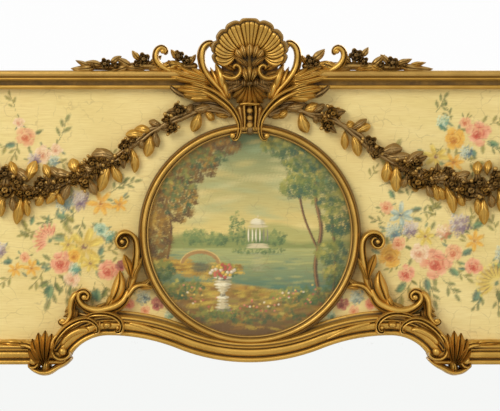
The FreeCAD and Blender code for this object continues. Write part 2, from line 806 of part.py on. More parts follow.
def crest(seats):
    """The cockle shell over the frame and what hangs from it down to the round frame."""
    block = box("crest_blank", (-s.crest_width / 2, s.crest_width / 2),
                (-s.crest_setback - s.crest_depth, -s.crest_setback),
                (s.frame_height, s.frame_height + s.crest_height))
    dowel_group = next(thing for thing in doc.Objects if thing.Label == "crest_dowels")
    keep(cut("crest_block", block, dowel_group))
    doc.recompute()
    block_shape = block.Shape
    seats = [*seats, block_shape]
    back = float(s.crest_setback + s.crest_depth)

    heart = [disc(0, TOP + 22, 20, back, back + 44), disc(-8, TOP + 28, 8, back, back + 50),
             disc(9, TOP + 28, 8, back, back + 50), disc(0, TOP + 15, 9, back, back + 49)]
    carve("shell_heart", heart, seats)

    steps = ((1.0, 24), (0.8, 30), (0.58, 34))
    tiers = [slab(scallops(share), back, back + high) for share, high in steps]
    carve("cockle_shell", tiers, seats)

    for_volutes = []
    curl = [(-62, TOP + 2), (-54, TOP - 2), (-46, TOP - 9), (-33, TOP - 14), (-21, TOP - 9),
            (-17, TOP + 2), (-24, TOP + 5)]
    for side in (-1, 1):
        for_volutes.append(band(flipped(curl, side), (4, 9, 10, 8), BOARD + 6, BOARD + 38))
        for_volutes.append(disc(-side * -24.0, TOP + 3, 6, BOARD + 6, BOARD + 40))
    for_volutes.append(band([(-33, TOP - 14), (0, TOP - 21), (33, TOP - 14)], (7, 12, 7),
                            BOARD + 6, BOARD + 34))
    carve("shell_volutes", for_volutes, seats)

    fan = [leaf((0, TOP - 56), (x, z), 13, BOARD, BOARD + 36) for x, z in
           ((-27, TOP - 38), (-17, TOP - 27), (0, TOP - 22), (17, TOP - 27), (27, TOP - 38))]
    fan.append(disc(0, TOP - 52, 11, BOARD, BOARD + 37))
    carve("palmette", fan, seats)

    panel = polygon([(-17, TOP - 60), (17, TOP - 60), (9, TOP - 104), (-9, TOP - 104)])
    drop = [slab(panel, BOARD, BOARD + 24)]
    for z in (TOP - 70, TOP - 82.5, TOP - 94.5):
        drop.append(ball(0, z, 5, BOARD + 25))
    carve("bead_drop", drop, seats)

    stem = [(-31, TOP - 112), (-24, TOP - 114), (-19, TOP - 102), (-20, TOP - 90), (-27, TOP - 73),
            (-38, TOP - 59), (-52, TOP - 46), (-70, TOP - 33), (-92, TOP - 25), (-112, TOP - 23),
            (-134, TOP - 28)]
    lobes = (((-60, TOP - 40), (-96, TOP - 50), 20), ((-75, TOP - 32), (-118, TOP - 41), 16),
             ((-90, TOP - 27), (-136, TOP - 31), 16), ((-60, TOP - 38), (-84, TOP - 12), 16),
             ((-75, TOP - 30), (-110, TOP - 6), 16), ((-60, TOP - 36), (-96, TOP + 2), 15))
    scroll = [(-47, TOP - 41), (-61, TOP - 29), (-72, TOP - 16), (-82, TOP - 1), (-88, TOP + 14),
              (-89, TOP + 28), (-85, TOP + 40), (-76, TOP + 47)]
    for side, word in ((-1, "left"), (1, "right")):
        pieces = [band(flipped(stem, side), (7, 11, 13, 18, 22, 14, 4), BOARD, BOARD + 38),
                  disc(side * 31, TOP - 107, 7, BOARD, BOARD + 30)]
        for base, tip, wide in lobes:
            ends = flipped((base, tip), side)
            pieces.append(leaf(ends[0], ends[1], wide, BOARD, BOARD + 36))
        carve(f"acanthus_{word}", pieces, seats)
        pieces = [band(flipped(scroll, side), (6, 11, 13, 11), BOARD + 8, BOARD + 33),
                  disc(side * 72, TOP + 43, 8, BOARD + 8, BOARD + 36)]
        carve(f"crest_scroll_{word}", pieces, seats)


SCROLL_ON_TOP = ((-118, 2), (-135, 1), (-152, 5), (-162, 17), (-163, 31), (-156, 39), (-146, 38))
TOP_LEFT_FLOWERS = ((-246, 10, 10), (-180, 20, 10), (-190, 8, 8), (-122, 24, 9), (-107, 18, 9))
TOP_LEFT_LEAVES = ((-262, 7, -302, 2, 14), (-200, 7, -227, 24, 12), (-204, 8, -234, -3, 12),
                   (-140, 8, -172, 4, 12))
TOP_RIGHT_FLOWERS = ((101, 15, 11), (108, 12, 9), (181, 27, 12), (191, 16, 9), (242, 13, 11))
TOP_RIGHT_LEAVES = ((106, 18, 129, 36, 14), (206, 8, 229, 27, 12), (258, 8, 311, 2, 14),
                    (205, 10, 226, 0, 12))


def top_ornaments(seats):
    """Leaves, flowers and two small scrolls along the frame's upper edge."""
    low, high = BOARD + 8, BOARD + 26
    for side, word, flowers, leaves in ((-1, "left", TOP_LEFT_FLOWERS, TOP_LEFT_LEAVES),
                                        (1, "right", TOP_RIGHT_FLOWERS, TOP_RIGHT_LEAVES)):
        points = flipped(raised(SCROLL_ON_TOP, by_z=TOP), side)
        pieces = [band(points, (14, 12, 10, 8), low + 2, high + 4),
                  disc(side * 149, TOP + 29, 10, low + 2, high + 6)]
        carve(f"top_scroll_{word}", pieces, seats)
        pieces = [slab(polygon(flipped([(-268, TOP), (-90, TOP), (-90, TOP + 12),
                                        (-268, TOP + 6)], side)), low, high)]
        pieces += [flower(x, TOP + z, radius, low, high + 8) for x, z, radius in flowers]
        pieces += [leaf((bx, TOP + bz), (tx, TOP + tz), wide, low, high + 6)
                   for bx, bz, tx, tz, wide in leaves]
        carve(f"top_spray_{word}", pieces, seats)


# Stem, flowers (x, down from the top, radius) and leaves (base, tip, width) of the swags.
SWAG_STEM = ((-60, -66), (-93, -70), (-113, -77), (-132, -85), (-152, -95), (-171, -104),
             (-186, -115), (-207, -132), (-227, -148), (-251, -160), (-271, -171), (-292, -182),
             (-314, -191), (-340, -198))
LEFT_FLOWERS = ((-124, -68, 14), (-134, -97, 13), (-212, -128, 12), (-215, -147, 13),
                (-226, -159, 8), (-268, -159, 13), (-280, -190, 16), (-300, -186, 9))
LEFT_LEAVES = ((-98, -68, -64, -58, 16), (-84, -70, -95, -102, 16), (-178, -107, -209, -109, 14),
               (-165, -100, -193, -104, 14), (-162, -104, -158, -128, 10),
               (-170, -110, -176, -143, 14), (-200, -130, -197, -171, 12),
               (-231, -148, -268, -144, 18), (-240, -156, -254, -202, 16),
               (-236, -156, -220, -188, 14), (-296, -180, -300, -151, 18),
               (-342, -190, -372, -185, 14))
RIGHT_FLOWERS = ((140, -76, 15), (132, -97, 11), (205, -122, 12), (213, -142, 8),
                 (283, -152, 13), (286, -191, 17), (320, -178, 10), (335, -170, 8))
RIGHT_LEAVES = ((66, -68, 46, -80, 12), (86, -70, 97, -107, 16), (108, -74, 111, -54, 13),
                (113, -76, 114, -88, 11), (165, -98, 176, -91, 14), (179, -104, 203, -95, 13),
                (162, -102, 162, -133, 11), (173, -108, 183, -144, 12),
                (222, -142, 258, -133, 16), (229, -148, 274, -145, 14),
                (234, -152, 233, -188, 16), (250, -160, 249, -204, 16))
OUTER_FLOWERS = ((0.12, 15, 18), (0.3, -12, 13), (0.42, 12, 15), (0.58, -8, 12), (0.72, 9, 13),
                 (0.86, -8, 10))
OUTER_LEAVES = ((0.04, -60, 26), (0.2, -110, 40), (0.24, 60, 30), (0.36, -75, 36), (0.5, -100, 34),
                (0.5, 70, 26), (0.64, -90, 34), (0.68, 60, 24), (0.8, -100, 30), (0.9, 70, 20))


def outer_stem(share):
    """A point on the swag between its lowest point and its rosette."""
    reach = rosette_x - s.swag_low
    rise = rosette_height - swag_height
    return s.swag_low + reach * share, swag_height + rise * share ** 1.7


def swags(seats):
    """Two hanging garlands, each in an inner and an outer length, and their rosettes."""
    stem_low, stem_high, leaf_high, flower_high = BOARD, BOARD + 10, BOARD + 9, BOARD + 20
    rosettes = []
    for side in (-1, 1):
        x = float(side * rosette_x)
        rosettes.append(feature("rosette", flower(x, rosette_height, 24, BOARD, BOARD + 24)))
        carved[f"rosette_{side}"] = rosettes[-1].Shape
    keep(group("garland_rosettes", rosettes))

    for side, word, flowers, leaves in ((-1, "left", LEFT_FLOWERS, LEFT_LEAVES),
                                        (1, "right", RIGHT_FLOWERS, RIGHT_LEAVES)):
        stem = flipped(raised(SWAG_STEM, by_z=TOP), side)
        stem.append((float(side * s.swag_low), float(swag_height)))
        pieces = [band(stem, (8, 8), stem_low, stem_high)]
        pieces += [flower(x, TOP + z, radius, stem_low, flower_high) for x, z, radius in flowers]
        pieces += [leaf((bx, TOP + bz), (tx, TOP + tz), wide, stem_low, leaf_high)
                   for bx, bz, tx, tz, wide in leaves]
        carve(f"garland_{word}_inner", pieces, seats)

        shares = [step / 6 for step in range(7)]
        points = [(side * x, z) for x, z in map(outer_stem, shares)]
        pieces = [band(points, (8, 8), stem_low, stem_high)]
        for share, lift, radius in OUTER_FLOWERS:
            x, z = outer_stem(share)
            pieces.append(flower(side * x, z + lift, radius, stem_low, flower_high))
        for share, degrees, length in OUTER_LEAVES:
            x, z = outer_stem(share)
            angle = math.radians(degrees)
            tip = (side * (x + length * math.cos(angle) * 0.5), z + length * math.sin(angle))
            pieces.append(leaf((side * x, z), tip, length * 0.42, stem_low, leaf_high))
        carve(f"garland_{word}_outer", pieces, seats)


# Scrolls beside the round frame: x out from its rim, z up from its centre.
RING_SCROLL = ((-22, 4), (-12, 3), (-3, -6), (0, -20), (0, -37), (-3, -59), (-9, -80), (-13, -98))
RING_SCROLL_LEAVES = ((-8, -76, -20, -35, 12), (-11, -90, 4, -44, 12), (-14, -104, 20, -91, 12))
BASE_SCROLL = ((-12, -96), (-22, -109), (-34, -118), (-52, -125), (-75, -126), (-93, -122),
               (-101, -111))
BASE_SCROLL_LEAVES = ((-36, -118, -30, -66, 16), (-26, -108, -4, -88, 12))
SIDE_LEAF = ((-88, -112), (-100, -107), (-109, -118), (-114, -134), (-115, -147), (-120, -153),
             (-129, -152))


def side_scrolls(seats):
    """The paired scrolls between the round frame and the serpentine moulding."""
    low = BOARD
    for side, word in ((-1, "left"), (1, "right")):
        def placed_points(points):
            return flipped(raised(points, by_x=-RIM, by_z=RING), side)

        def placed_leaves(leaves):
            made = []
            for bx, bz, tx, tz, wide in leaves:
                base, tip = placed_points([(bx, bz), (tx, tz)])
                made.append(leaf(base, tip, wide, low, low + 20))
            return made

        eye = placed_points([(-25, -11), (-89, -107), (-127, -150)])
        pieces = [band(placed_points(RING_SCROLL), (8, 11, 14, 16, 12, 8), low, low + 26),
                  disc(*eye[0], 13, low, low + 28), *placed_leaves(RING_SCROLL_LEAVES)]
        carve(f"ring_scroll_{word}", pieces, seats)
        pieces = [band(placed_points(BASE_SCROLL), (8, 14, 17, 15, 10), low, low + 30),
                  band(placed_points(SIDE_LEAF), (8, 12, 12, 8, 6), low, low + 26),
                  disc(*eye[1], 13, low, low + 32), disc(*eye[2], 7, low, low + 28),
                  *placed_leaves(BASE_SCROLL_LEAVES)]
        carve(f"base_scroll_{word}", pieces, seats)


# Corner shells: x out from the corner of the sight edge, z up from its straight side.
SHELL_LEAVES = ((-38, 18, -64, 53, 20), (-38, 18, -50, 59, 18), (-38, 18, -34, 56, 18),
                (-38, 18, -20, 46, 18), (-38, 18, -76, 26, 18), (-38, 18, -78, 2, 16),
                (-38, 18, -44, -16, 18), (-38, 18, -12, -4, 18))
ARCH_LEAF = ((-18, 30), (-4, 44), (14, 58), (36, 64), (58, 64), (80, 58))


def corner_shells(seats):
    """A fanned leaf over each corner of the sight edge, and the leaf along its arch."""
    corner = serpentine.corner(0)
    front = BOARD + float(s.apron_depth)
    arch_leaves = []
    for side, word in ((-1, "left"), (1, "right")):
        def placed_points(points):
            return flipped(raised(points, by_x=-corner.x, by_z=corner.z), side)

        origin = placed_points([(-38, 18)])[0]
        pieces = [disc(*origin, 15, BOARD, front + 11)]
        for bx, bz, tx, tz, wide in SHELL_LEAVES:
            base, tip = placed_points([(bx, bz), (tx, tz)])
            pieces.append(leaf(base, tip, wide, BOARD, front + 7))
        for place, radius in (((-56, 3), 7), ((-9, 19), 8)):
            x, z = placed_points([place])[0]
            pieces.append(disc(x, z, radius, BOARD, front + 9))
        carve(f"corner_shell_{word}", pieces, seats)
        points = placed_points(ARCH_LEAF)
        shape = band(points, (10, 22, 26, 26, 20, 8), BOARD, front + 6)
        shape = shape.cut([*seats, *carved.values()])
        arch_leaves.append(sound_solids(shape))
    carved["arch_leaves"] = Part.Compound(arch_leaves)
    pair = [feature("arch_leaf", shape) for shape in arch_leaves]
    keep(group("arch_leaves", pair))


def build():
    """Every piece, from the carcass outwards."""
    carcass()
    glazing()
    painted_boards()
    frame_mouldings()
    apron_mouldings()
    ring_mouldings()
    hangers()
    doc.recompute()
    kinds = ("top_moulding", "side_moulding", "apron_moulding", "ring_moulding", "medallion")
    seats = [node.Shape for node in nodes if node.Label.startswith(kinds)]
    crest(seats)
    top_ornaments(seats)
    side_scrolls(seats)
    corner_shells(seats)
    swags(seats)
    doc.recompute()


def check():
    """Stop before anything is written if an object or a shape is at fault."""
    for thing in doc.Objects:
        if "Invalid" in thing.State or "Error" in thing.State:
            raise RuntimeError(f"{thing.Label} did not recompute: {thing.State}")
    for node in nodes:
        if node.Shape.isNull() or not node.Shape.isValid() or not node.Shape.Solids:
            raise RuntimeError(f"{node.Label} has no sound shape")


def export():
    """One file for each piece."""
    os.makedirs("parts", exist_ok=True)
    for node in nodes:
        node.Shape.exportStep(f"parts/{node.Label}.step")
        print(node.Label, len(node.Shape.Solids), round(node.Shape.Volume / 1000), "cm3")


build()
check()
export()
print(len(nodes), "nodes")
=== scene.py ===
import math

import bmesh
import bpy
import numpy as np
from bpy.props import FloatProperty, FloatVectorProperty, IntProperty, PointerProperty
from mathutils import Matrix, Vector


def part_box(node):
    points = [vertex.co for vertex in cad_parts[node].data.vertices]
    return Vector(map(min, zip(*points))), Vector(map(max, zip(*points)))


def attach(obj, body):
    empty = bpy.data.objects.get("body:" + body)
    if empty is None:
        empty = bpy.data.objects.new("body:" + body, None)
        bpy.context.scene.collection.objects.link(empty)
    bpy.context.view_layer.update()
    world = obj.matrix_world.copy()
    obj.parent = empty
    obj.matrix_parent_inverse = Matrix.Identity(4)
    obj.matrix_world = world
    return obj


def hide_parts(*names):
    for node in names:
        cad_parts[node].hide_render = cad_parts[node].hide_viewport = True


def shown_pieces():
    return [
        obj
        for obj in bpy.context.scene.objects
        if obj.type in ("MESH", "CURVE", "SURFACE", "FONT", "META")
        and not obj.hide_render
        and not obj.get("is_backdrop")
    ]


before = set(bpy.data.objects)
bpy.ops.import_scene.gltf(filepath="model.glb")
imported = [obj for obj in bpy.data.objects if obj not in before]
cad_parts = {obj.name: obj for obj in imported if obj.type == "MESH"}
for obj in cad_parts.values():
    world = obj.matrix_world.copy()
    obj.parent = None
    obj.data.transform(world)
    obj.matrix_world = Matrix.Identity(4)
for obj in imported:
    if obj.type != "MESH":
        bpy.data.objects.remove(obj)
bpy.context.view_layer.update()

bl_info = {"name": "Trumeau mirror", "version": (1, 0, 0), "blender": (4, 5, 0),
    "location": "3D View > Sidebar > Trumeau",
    "description": "Carved and painted overmantel mirror built round its packed frame",
    "category": "Add Mesh"}

# Lengths are millimetres until a mesh is made: x to the right, z up, and "out"
# the distance in front of the wall.
MM = 0.001
TOP = 1720.0  # top of the frame, under the crest
HALF = 700.0  # from the middle to a side of the frame
BOARD = 33.0  # front of the painted boards, on which all carving lies
# The painted boards' back, and their foot, cut back over the plate below LIP.
BOARD_BACK, LIP, LIP_DEEP = 18.0, 1291.0, 5.0
# The round frame: its centre's height, its radius and the width of its moulding.
RING_Z, RIM, RING_BAND = 1441.0, 190.0, 18.0
# The serpentine sight edge: a hollow in the middle, a swell on each side of it.
ARCH_X, ARCH_TOP, SIGHT_CENTRE, SIGHT_SIDE = 240.0, 1269.6, 1223.6, 1220.0
HOLLOW_R, END_R, APRON = 331.0, 78.0, 42.0
ARCH_RISE = ARCH_TOP - SIGHT_CENTRE
SWELL_R = (ARCH_X ** 2 + ARCH_RISE ** 2) / (2 * ARCH_RISE) - HOLLOW_R
HOLLOW_Z, SWELL_Z, END_Z = SIGHT_CENTRE + HOLLOW_R, ARCH_TOP - SWELL_R, ARCH_TOP - END_R
TURN = math.asin(ARCH_X / (SWELL_R + HOLLOW_R))
FRAME_WIDE = 31.0
INNER_EDGE = HALF - FRAME_WIDE
CREST_HALF = 92.0  # half the length of the flat cut in the top moulding behind the crest
# Carvings drawn on one plane are opened out by this much about the middle of the view.
VIEW_Z, OPENED = 1490.5, 1.0142
SIDES = ((-1, "left"), (1, "right"))
HANDS = ((False, "left"), (True, "right"))
GOLDEN_TURN = 2.399  # radians between one floret and the next
PAINT_GRID, PICTURE_GRID = (384, 252), (306, 306)
TONE = 0.2  # how far plain gilding has gone towards bronze
# How far in front of the frame's back the heads of the nails and screws are set.
NAIL_REST, SCREW_REST = 0.05, 9.6


# ---- settings ---------------------------------------------------------------------

class TrumeauSizes(bpy.types.PropertyGroup):
    """Sizes of what is carved and fixed on the frame."""
    relief: FloatProperty(name="Relief", description="Depth of grooves and veins in the carving",
        default=1.0, min=0.2, max=2.0, subtype="FACTOR")
    tooling: FloatProperty(name="Hand tooling", description="Unevenness left by the carver",
        default=0.0005, min=0.0, max=0.002, unit="LENGTH")
    bead_radius: FloatProperty(name="Bead radius", description="Beads of the drop under the shell",
        default=0.0052, min=0.003, max=0.006, unit="LENGTH")
    nail_head: FloatProperty(name="Nail head", description="Radius of the backboard nail heads",
        default=0.0015, min=0.001, max=0.0015, unit="LENGTH")
    screw_head: FloatProperty(name="Screw head", description="Radius of the hanger screw heads",
        default=0.0038, min=0.002, max=0.004, unit="LENGTH")
    hammer_seed: IntProperty(name="Hammer seed", description="Seed for the set of each nail head",
        default=7)


class TrumeauColours(bpy.types.PropertyGroup):
    """Colours of the finishes."""


COLOURS = (("gold", "Gold leaf", "Rubbed gold leaf on raised carving", (0.60, 0.345, 0.062)),
    # The shade colour browns the hollows of the gilding: patina, and painted shade as well.
    ("shade", "Patina", "Brown patina lying in the hollows", (0.075, 0.038, 0.009)),
    ("bronze", "Bronzed gilding", "Darkened gilding of flowers and stems", (0.235, 0.147, 0.052)),
    ("bole", "Bole", "Red clay showing through worn leaf", (0.27, 0.085, 0.028)),
    ("ground", "Painted ground", "Cream paint of the boards", (0.85, 0.68, 0.27)),
    ("pine", "Old pine", "Unfinished wood of the carcass", (0.36, 0.21, 0.10)),
    ("brass", "Brass", "Hanger straps and rings", (0.56, 0.37, 0.13)),
    ("steel", "Steel", "Screws and nails", (0.22, 0.20, 0.185)),
    ("glass", "Mirror", "Silvered plate", (0.93, 0.94, 0.925)))
for key, label, note, value in COLOURS:
    TrumeauColours.__annotations__[key] = FloatVectorProperty(name=label, description=note,
        default=value, size=3, min=0.0, max=1.0, subtype="COLOR")


def sizes():
    return bpy.context.scene.trumeau_sizes


def colour(name):
    return (*getattr(bpy.context.scene.trumeau_colours, name), 1.0)


# ---- shader expressions -----------------------------------------------------------

class Value:
    """A node output that takes part in arithmetic."""

    def __init__(self, tree, socket):
        self.tree, self.socket = tree, socket

    def math(self, operation, *others, first=None):
        return self.tree.node("ShaderNodeMath", {"operation": operation},
            [self if first is None else first, *others])

    def __add__(self, other):
        return self.math("ADD", other)

    def __sub__(self, other):
        return self.math("SUBTRACT", other)

    def __rsub__(self, other):
        return self.math("SUBTRACT", self, first=other)

    def __mul__(self, other):
        return self.math("MULTIPLY", other)

    def __truediv__(self, other):
        return self.math("DIVIDE", other)

    def __pow__(self, other):
        return self.math("POWER", other)

    __radd__ = __add__
    __rmul__ = __mul__

    def clipped(self):
        return self.tree.node("ShaderNodeClamp", {}, [self])

    def between(self, low, high):
        """0 below low, 1 above high, smooth in between."""
        return self.tree.node("ShaderNodeMapRange", {"interpolation_type": "SMOOTHSTEP"},
            [self, low, high])


class Finish:
    """A material under construction."""

    def __init__(self, name):
        self.material = bpy.data.materials.new(name)
        self.material.use_nodes = True
        self.nodes, self.links = self.material.node_tree.nodes, self.material.node_tree.links
        self.shader = self.nodes["Principled BSDF"]
        self.place = self.node("ShaderNodeTexCoord", {}, [], "Object")

    def node(self, kind, settings, inputs, output=0):
        """Any node: its settings, then the values or links of its sockets."""
        made = self.nodes.new(kind)
        for key, value in settings.items():
            setattr(made, key, value)
        named = inputs.items() if isinstance(inputs, dict) else enumerate(inputs)
        for key, value in named:
            if isinstance(value, Value):
                self.links.new(value.socket, made.inputs[key])
            else:
                made.inputs[key].default_value = value
        return Value(self, made.outputs[output])

    def mix(self, share, first, second, blend="MIX"):
        return self.node("ShaderNodeMix", {"data_type": "RGBA", "blend_type": blend},
            {0: share, 6: first, 7: second}, 2)

    def noise(self, scale, detail=3.0, rough=0.55, stretch=None, place=None):
        place = place or self.place
        if stretch:
            place = self.node("ShaderNodeMapping", {}, {0: place, 3: stretch})
        return self.node("ShaderNodeTexNoise", {}, {"Vector": place, "Scale": scale, "Detail": detail,
            "Roughness": rough})

    def attribute(self, name, output="Fac"):
        return self.node("ShaderNodeAttribute", {"attribute_name": name}, [], output)

    def bump(self, height, strength, distance, normal=None):
        inputs = {"Strength": strength, "Distance": distance, "Height": height}
        if normal:
            inputs["Normal"] = normal
        return self.node("ShaderNodeBump", {}, inputs, "Normal")

    def made(self, **inputs):
        for key, value in inputs.items():
            socket = self.shader.inputs[key.replace("_", " ")]
            if isinstance(value, Value):
                self.links.new(value.socket, socket)
            else:
                socket.default_value = value
        return self.material


finishes = {}


def aged_gold():
    """Leaf over bole, rubbed bright on what stands proud; brown in the hollows, as patina and as
    painted shade.
    """
    f = Finish("aged_gold")
    hollow, tone = f.attribute("hollow"), f.attribute("tone")
    cloud, grain, speck = f.noise(22, 4), f.noise(160, 3), f.noise(900, 2)
    # Patina and painted shade: the hollow value holds the painted shade of the relief as well as the
    # bend of the surface, and browns and dulls the leaf.
    patina_and_shade = (hollow * 1.2 + (cloud - 0.5) * 0.45 + (grain - 0.5) * 0.3).between(0.12, 1.0)
    leaf = f.mix(cloud.between(0.32, 0.7), f.mix(0.6, colour("gold"), (0.40, 0.215, 0.028, 1)),
        colour("gold"))
    worn = (0.42 - hollow + (grain - 0.5) * 0.9).between(0.5, 0.85) * 0.22
    leaf = f.mix(worn, leaf, f.mix(0.5, colour("bole"), colour("gold")))
    leaf = f.mix(tone, leaf, f.mix(grain.between(0.45, 0.75), colour("bronze"), (0.30, 0.185, 0.07, 1)))
    paint = f.mix(patina_and_shade, leaf, f.mix(tone, colour("shade"), (0.058, 0.033, 0.012, 1)))
    rough = 0.36 + patina_and_shade * 0.30 + (grain - 0.5) * 0.16 + tone * 0.04
    metal = (0.66 - patina_and_shade * 0.46 - tone * 0.08).clipped()
    normal = f.bump(speck, 0.16, 0.0006, f.bump(grain, 0.22, 0.0016))
    return f.made(Base_Color=paint, Roughness=rough, Metallic=metal, Normal=normal)


def painted(name, rough_low, scale):
    """Old oil paint: brushed streaks, a fine crackle and painted shade round the carving."""
    f = Finish(name)
    paint = f.attribute("paint", "Color")
    shade = f.attribute("hollow")
    streak = f.noise(scale, 4, 0.6, stretch=(0.25, 1.0, 7.0))
    cloud = f.noise(9, 3)
    warp = f.noise(40, 2)
    moved = f.node("ShaderNodeVectorMath", {"operation": "MULTIPLY_ADD"},
        [f.node("ShaderNodeTexNoise", {}, {"Vector": f.place, "Scale": 45.0}, "Color"),
        (0.02, 0.02, 0.02), f.place])
    cells = f.node("ShaderNodeTexVoronoi", {"feature": "DISTANCE_TO_EDGE"},
        {"Vector": moved, "Scale": 34.0}, "Distance")
    crack = (1.0 - cells.between(0.0, 0.035)) * warp.between(0.42, 0.62)
    tinted = f.mix(streak.between(0.38, 0.68) * 0.24, paint, (0.60, 0.43, 0.16, 1), "MULTIPLY")
    tinted = f.mix(cloud.between(0.35, 0.75) * 0.16, tinted, (0.74, 0.55, 0.27, 1), "MULTIPLY")
    tinted = f.mix(crack * 0.26, tinted, (0.25, 0.16, 0.08, 1))
    # Painted shade: the hollow value darkens the paint where the carving and the round frame stand over
    # it.
    tinted = f.mix(shade * 0.62, tinted, (0.20, 0.12, 0.05, 1), "MULTIPLY")
    rough = rough_low + streak * 0.18 + crack * 0.2
    normal = f.bump(crack, -0.25, 0.0006, f.bump(streak, 0.18, 0.0007))
    return f.made(Base_Color=tinted, Roughness=rough, Normal=normal)


def old_pine(name, grain, tint):
    """Unfinished softwood gone brown, with its grain along the piece (0 across, 2 upright)."""
    f = Finish(name)
    long, fine = [1.0, 1.0, 1.0], [1.0, 1.0, 1.0]
    long[grain], fine[grain] = 0.05, 0.03
    warp = f.node("ShaderNodeTexNoise", {}, {"Vector": f.place, "Scale": 3.0}, "Color")
    bent = f.node("ShaderNodeVectorMath", {"operation": "MULTIPLY_ADD"},
        [warp, (0.022, 0.022, 0.03), f.place])
    ring = f.noise(74, 4, 0.6, stretch=tuple(long), place=bent)
    fibre = f.noise(420, 3, 0.6, stretch=tuple(fine))
    stain = f.noise(4.5, 4)
    pale = tuple(value * tint for value in colour("pine")[:3]) + (1,)
    wood = f.mix(ring.between(0.38, 0.72), pale, (0.235 * tint, 0.126 * tint, 0.056 * tint, 1))
    wood = f.mix(fibre.between(0.45, 0.75) * 0.45, wood, (0.12, 0.065, 0.03, 1))
    wood = f.mix(stain.between(0.45, 0.75) * 0.5, wood, (0.45, 0.36, 0.27, 1), "MULTIPLY")
    normal = f.bump(fibre, 0.3, 0.0008, f.bump(ring, 0.15, 0.0015))
    return f.made(Base_Color=wood, Roughness=0.72 + fibre * 0.18, Normal=normal)


def mirror_glass():
    """Silvered plate, faintly foxed towards its edges."""
    f = Finish("mirror_glass")
    axes = f.node("ShaderNodeSeparateXYZ", {}, [f.place])
    level = Value(f, axes.socket.node.outputs["Z"])
    middle = (level - 0.66).math("ABSOLUTE")
    across = axes.math("ABSOLUTE")
    edge = (across - 0.60).between(0.0, 0.085) + (middle - 0.56).between(0.0, 0.10)
    spots = f.noise(75, 5, 0.7).between(0.60, 0.74)
    fox = (spots * edge * 0.55).clipped()
    tint = f.mix(fox, colour("glass"), (0.30, 0.24, 0.16, 1))
    return f.made(Base_Color=tint, Metallic=1.0, Roughness=0.018 + fox * 0.35)


def old_metal(name, base, dull):
    """Metal gone brown and dull in patches."""
    f = Finish(name)
    cloud, grain = f.noise(140, 4), f.noise(1400, 2)
    patch = (cloud + (grain - 0.5) * 0.3).between(0.4, 0.72)
    paint = f.mix(patch * 0.75, colour(base), dull)
    return f.made(Base_Color=paint, Metallic=0.9 - patch * 0.35, Roughness=0.34 + patch * 0.3,
        Normal=f.bump(grain, 0.15, 0.0003))


def make_finishes():
    finishes.update(gold=aged_gold(), ground=painted("painted_ground", 0.48, 120.0),
        picture=painted("painted_picture", 0.42, 160.0), pine=old_pine("old_pine", 2, 1.0),
        pine_pale=old_pine("old_pine_pale", 2, 1.22), pine_rail=old_pine("old_pine_rail", 0, 0.9),
        glass=mirror_glass(), brass=old_metal("hanger_brass", "brass", (0.11, 0.065, 0.028, 1)),
        steel=old_metal("fastener_steel", "steel", (0.10, 0.052, 0.03, 1)))


# ---- making meshes ----------------------------------------------------------------

def facets(quads, tris):
    """Every face as triangles."""
    return np.concatenate([quads[:, [0, 1, 2]], quads[:, [0, 2, 3]], tris])


def outward(verts, quads, tris):
    """The same closed shell, with its faces pointing outwards."""
    a, b, c = (verts[facets(quads, tris)[:, corner]] for corner in range(3))
    if np.einsum("ij,ij->i", a, np.cross(b, c)).sum() < 0:
        quads, tris = quads[:, ::-1], tris[:, ::-1]
    return verts, quads, tris


def loft(rings):
    """A closed shell through a run of closed rings, in an array (run, round, 3)."""
    run, round_ = rings.shape[:2]
    index = np.arange(run * round_).reshape(run, round_)
    ahead = np.roll(index, -1, 1)
    quads = np.stack([index[:-1], ahead[:-1], ahead[1:], index[1:]], -1).reshape(-1, 4)
    verts = np.concatenate([rings.reshape(-1, 3), rings[:1].mean(1), rings[-1:].mean(1)])
    first = np.stack([ahead[0], index[0], np.full(round_, run * round_)], -1)
    last = np.stack([index[-1], ahead[-1], np.full(round_, run * round_ + 1)], -1)
    return verts, quads, np.concatenate([first, last])


def smooth(points, count, even=True):
    """Points on a smooth line through a list of points, in any number of dimensions."""
    p = np.asarray(points, float)
    p = p.reshape(len(p), -1)
    p = np.concatenate([[2 * p[0] - p[1]], p, [2 * p[-1] - p[-2]]])
    t = np.linspace(0, 1, 16, endpoint=False)[:, None]
    runs = []
    for a, b, c, d in zip(p, p[1:], p[2:], p[3:]):
        runs.append(b + 0.5 * t * (c - a + t * (2 * a - 5 * b + 4 * c - d
            + t * (3 * b - a - 3 * c + d))))
    fine = np.concatenate([*runs, p[-2:-1]])
    if even:
        share = np.concatenate([[0], np.cumsum(np.linalg.norm(np.diff(fine, axis=0), axis=1))])
        share /= share[-1]
    else:
        share = np.linspace(0, 1, len(fine))
    wanted = np.linspace(0, 1, count)
    return np.stack([np.interp(wanted, share, column) for column in fine.T], 1)


def eased(values, count):
    """Evenly spread values, smoothed."""
    if np.ndim(values) == 0:
        return np.full(count, float(values))
    return smooth(values, count, even=False)[:, 0] if len(values) > 1 else np.full(count, values[0])


def sideways(line):
    """The direction across a line of (x, z) points, to the left of its run."""
    run = np.gradient(line, axis=0)
    run /= np.linalg.norm(run, axis=1)[:, None]
    return np.stack([-run[:, 1], run[:, 0]], 1)


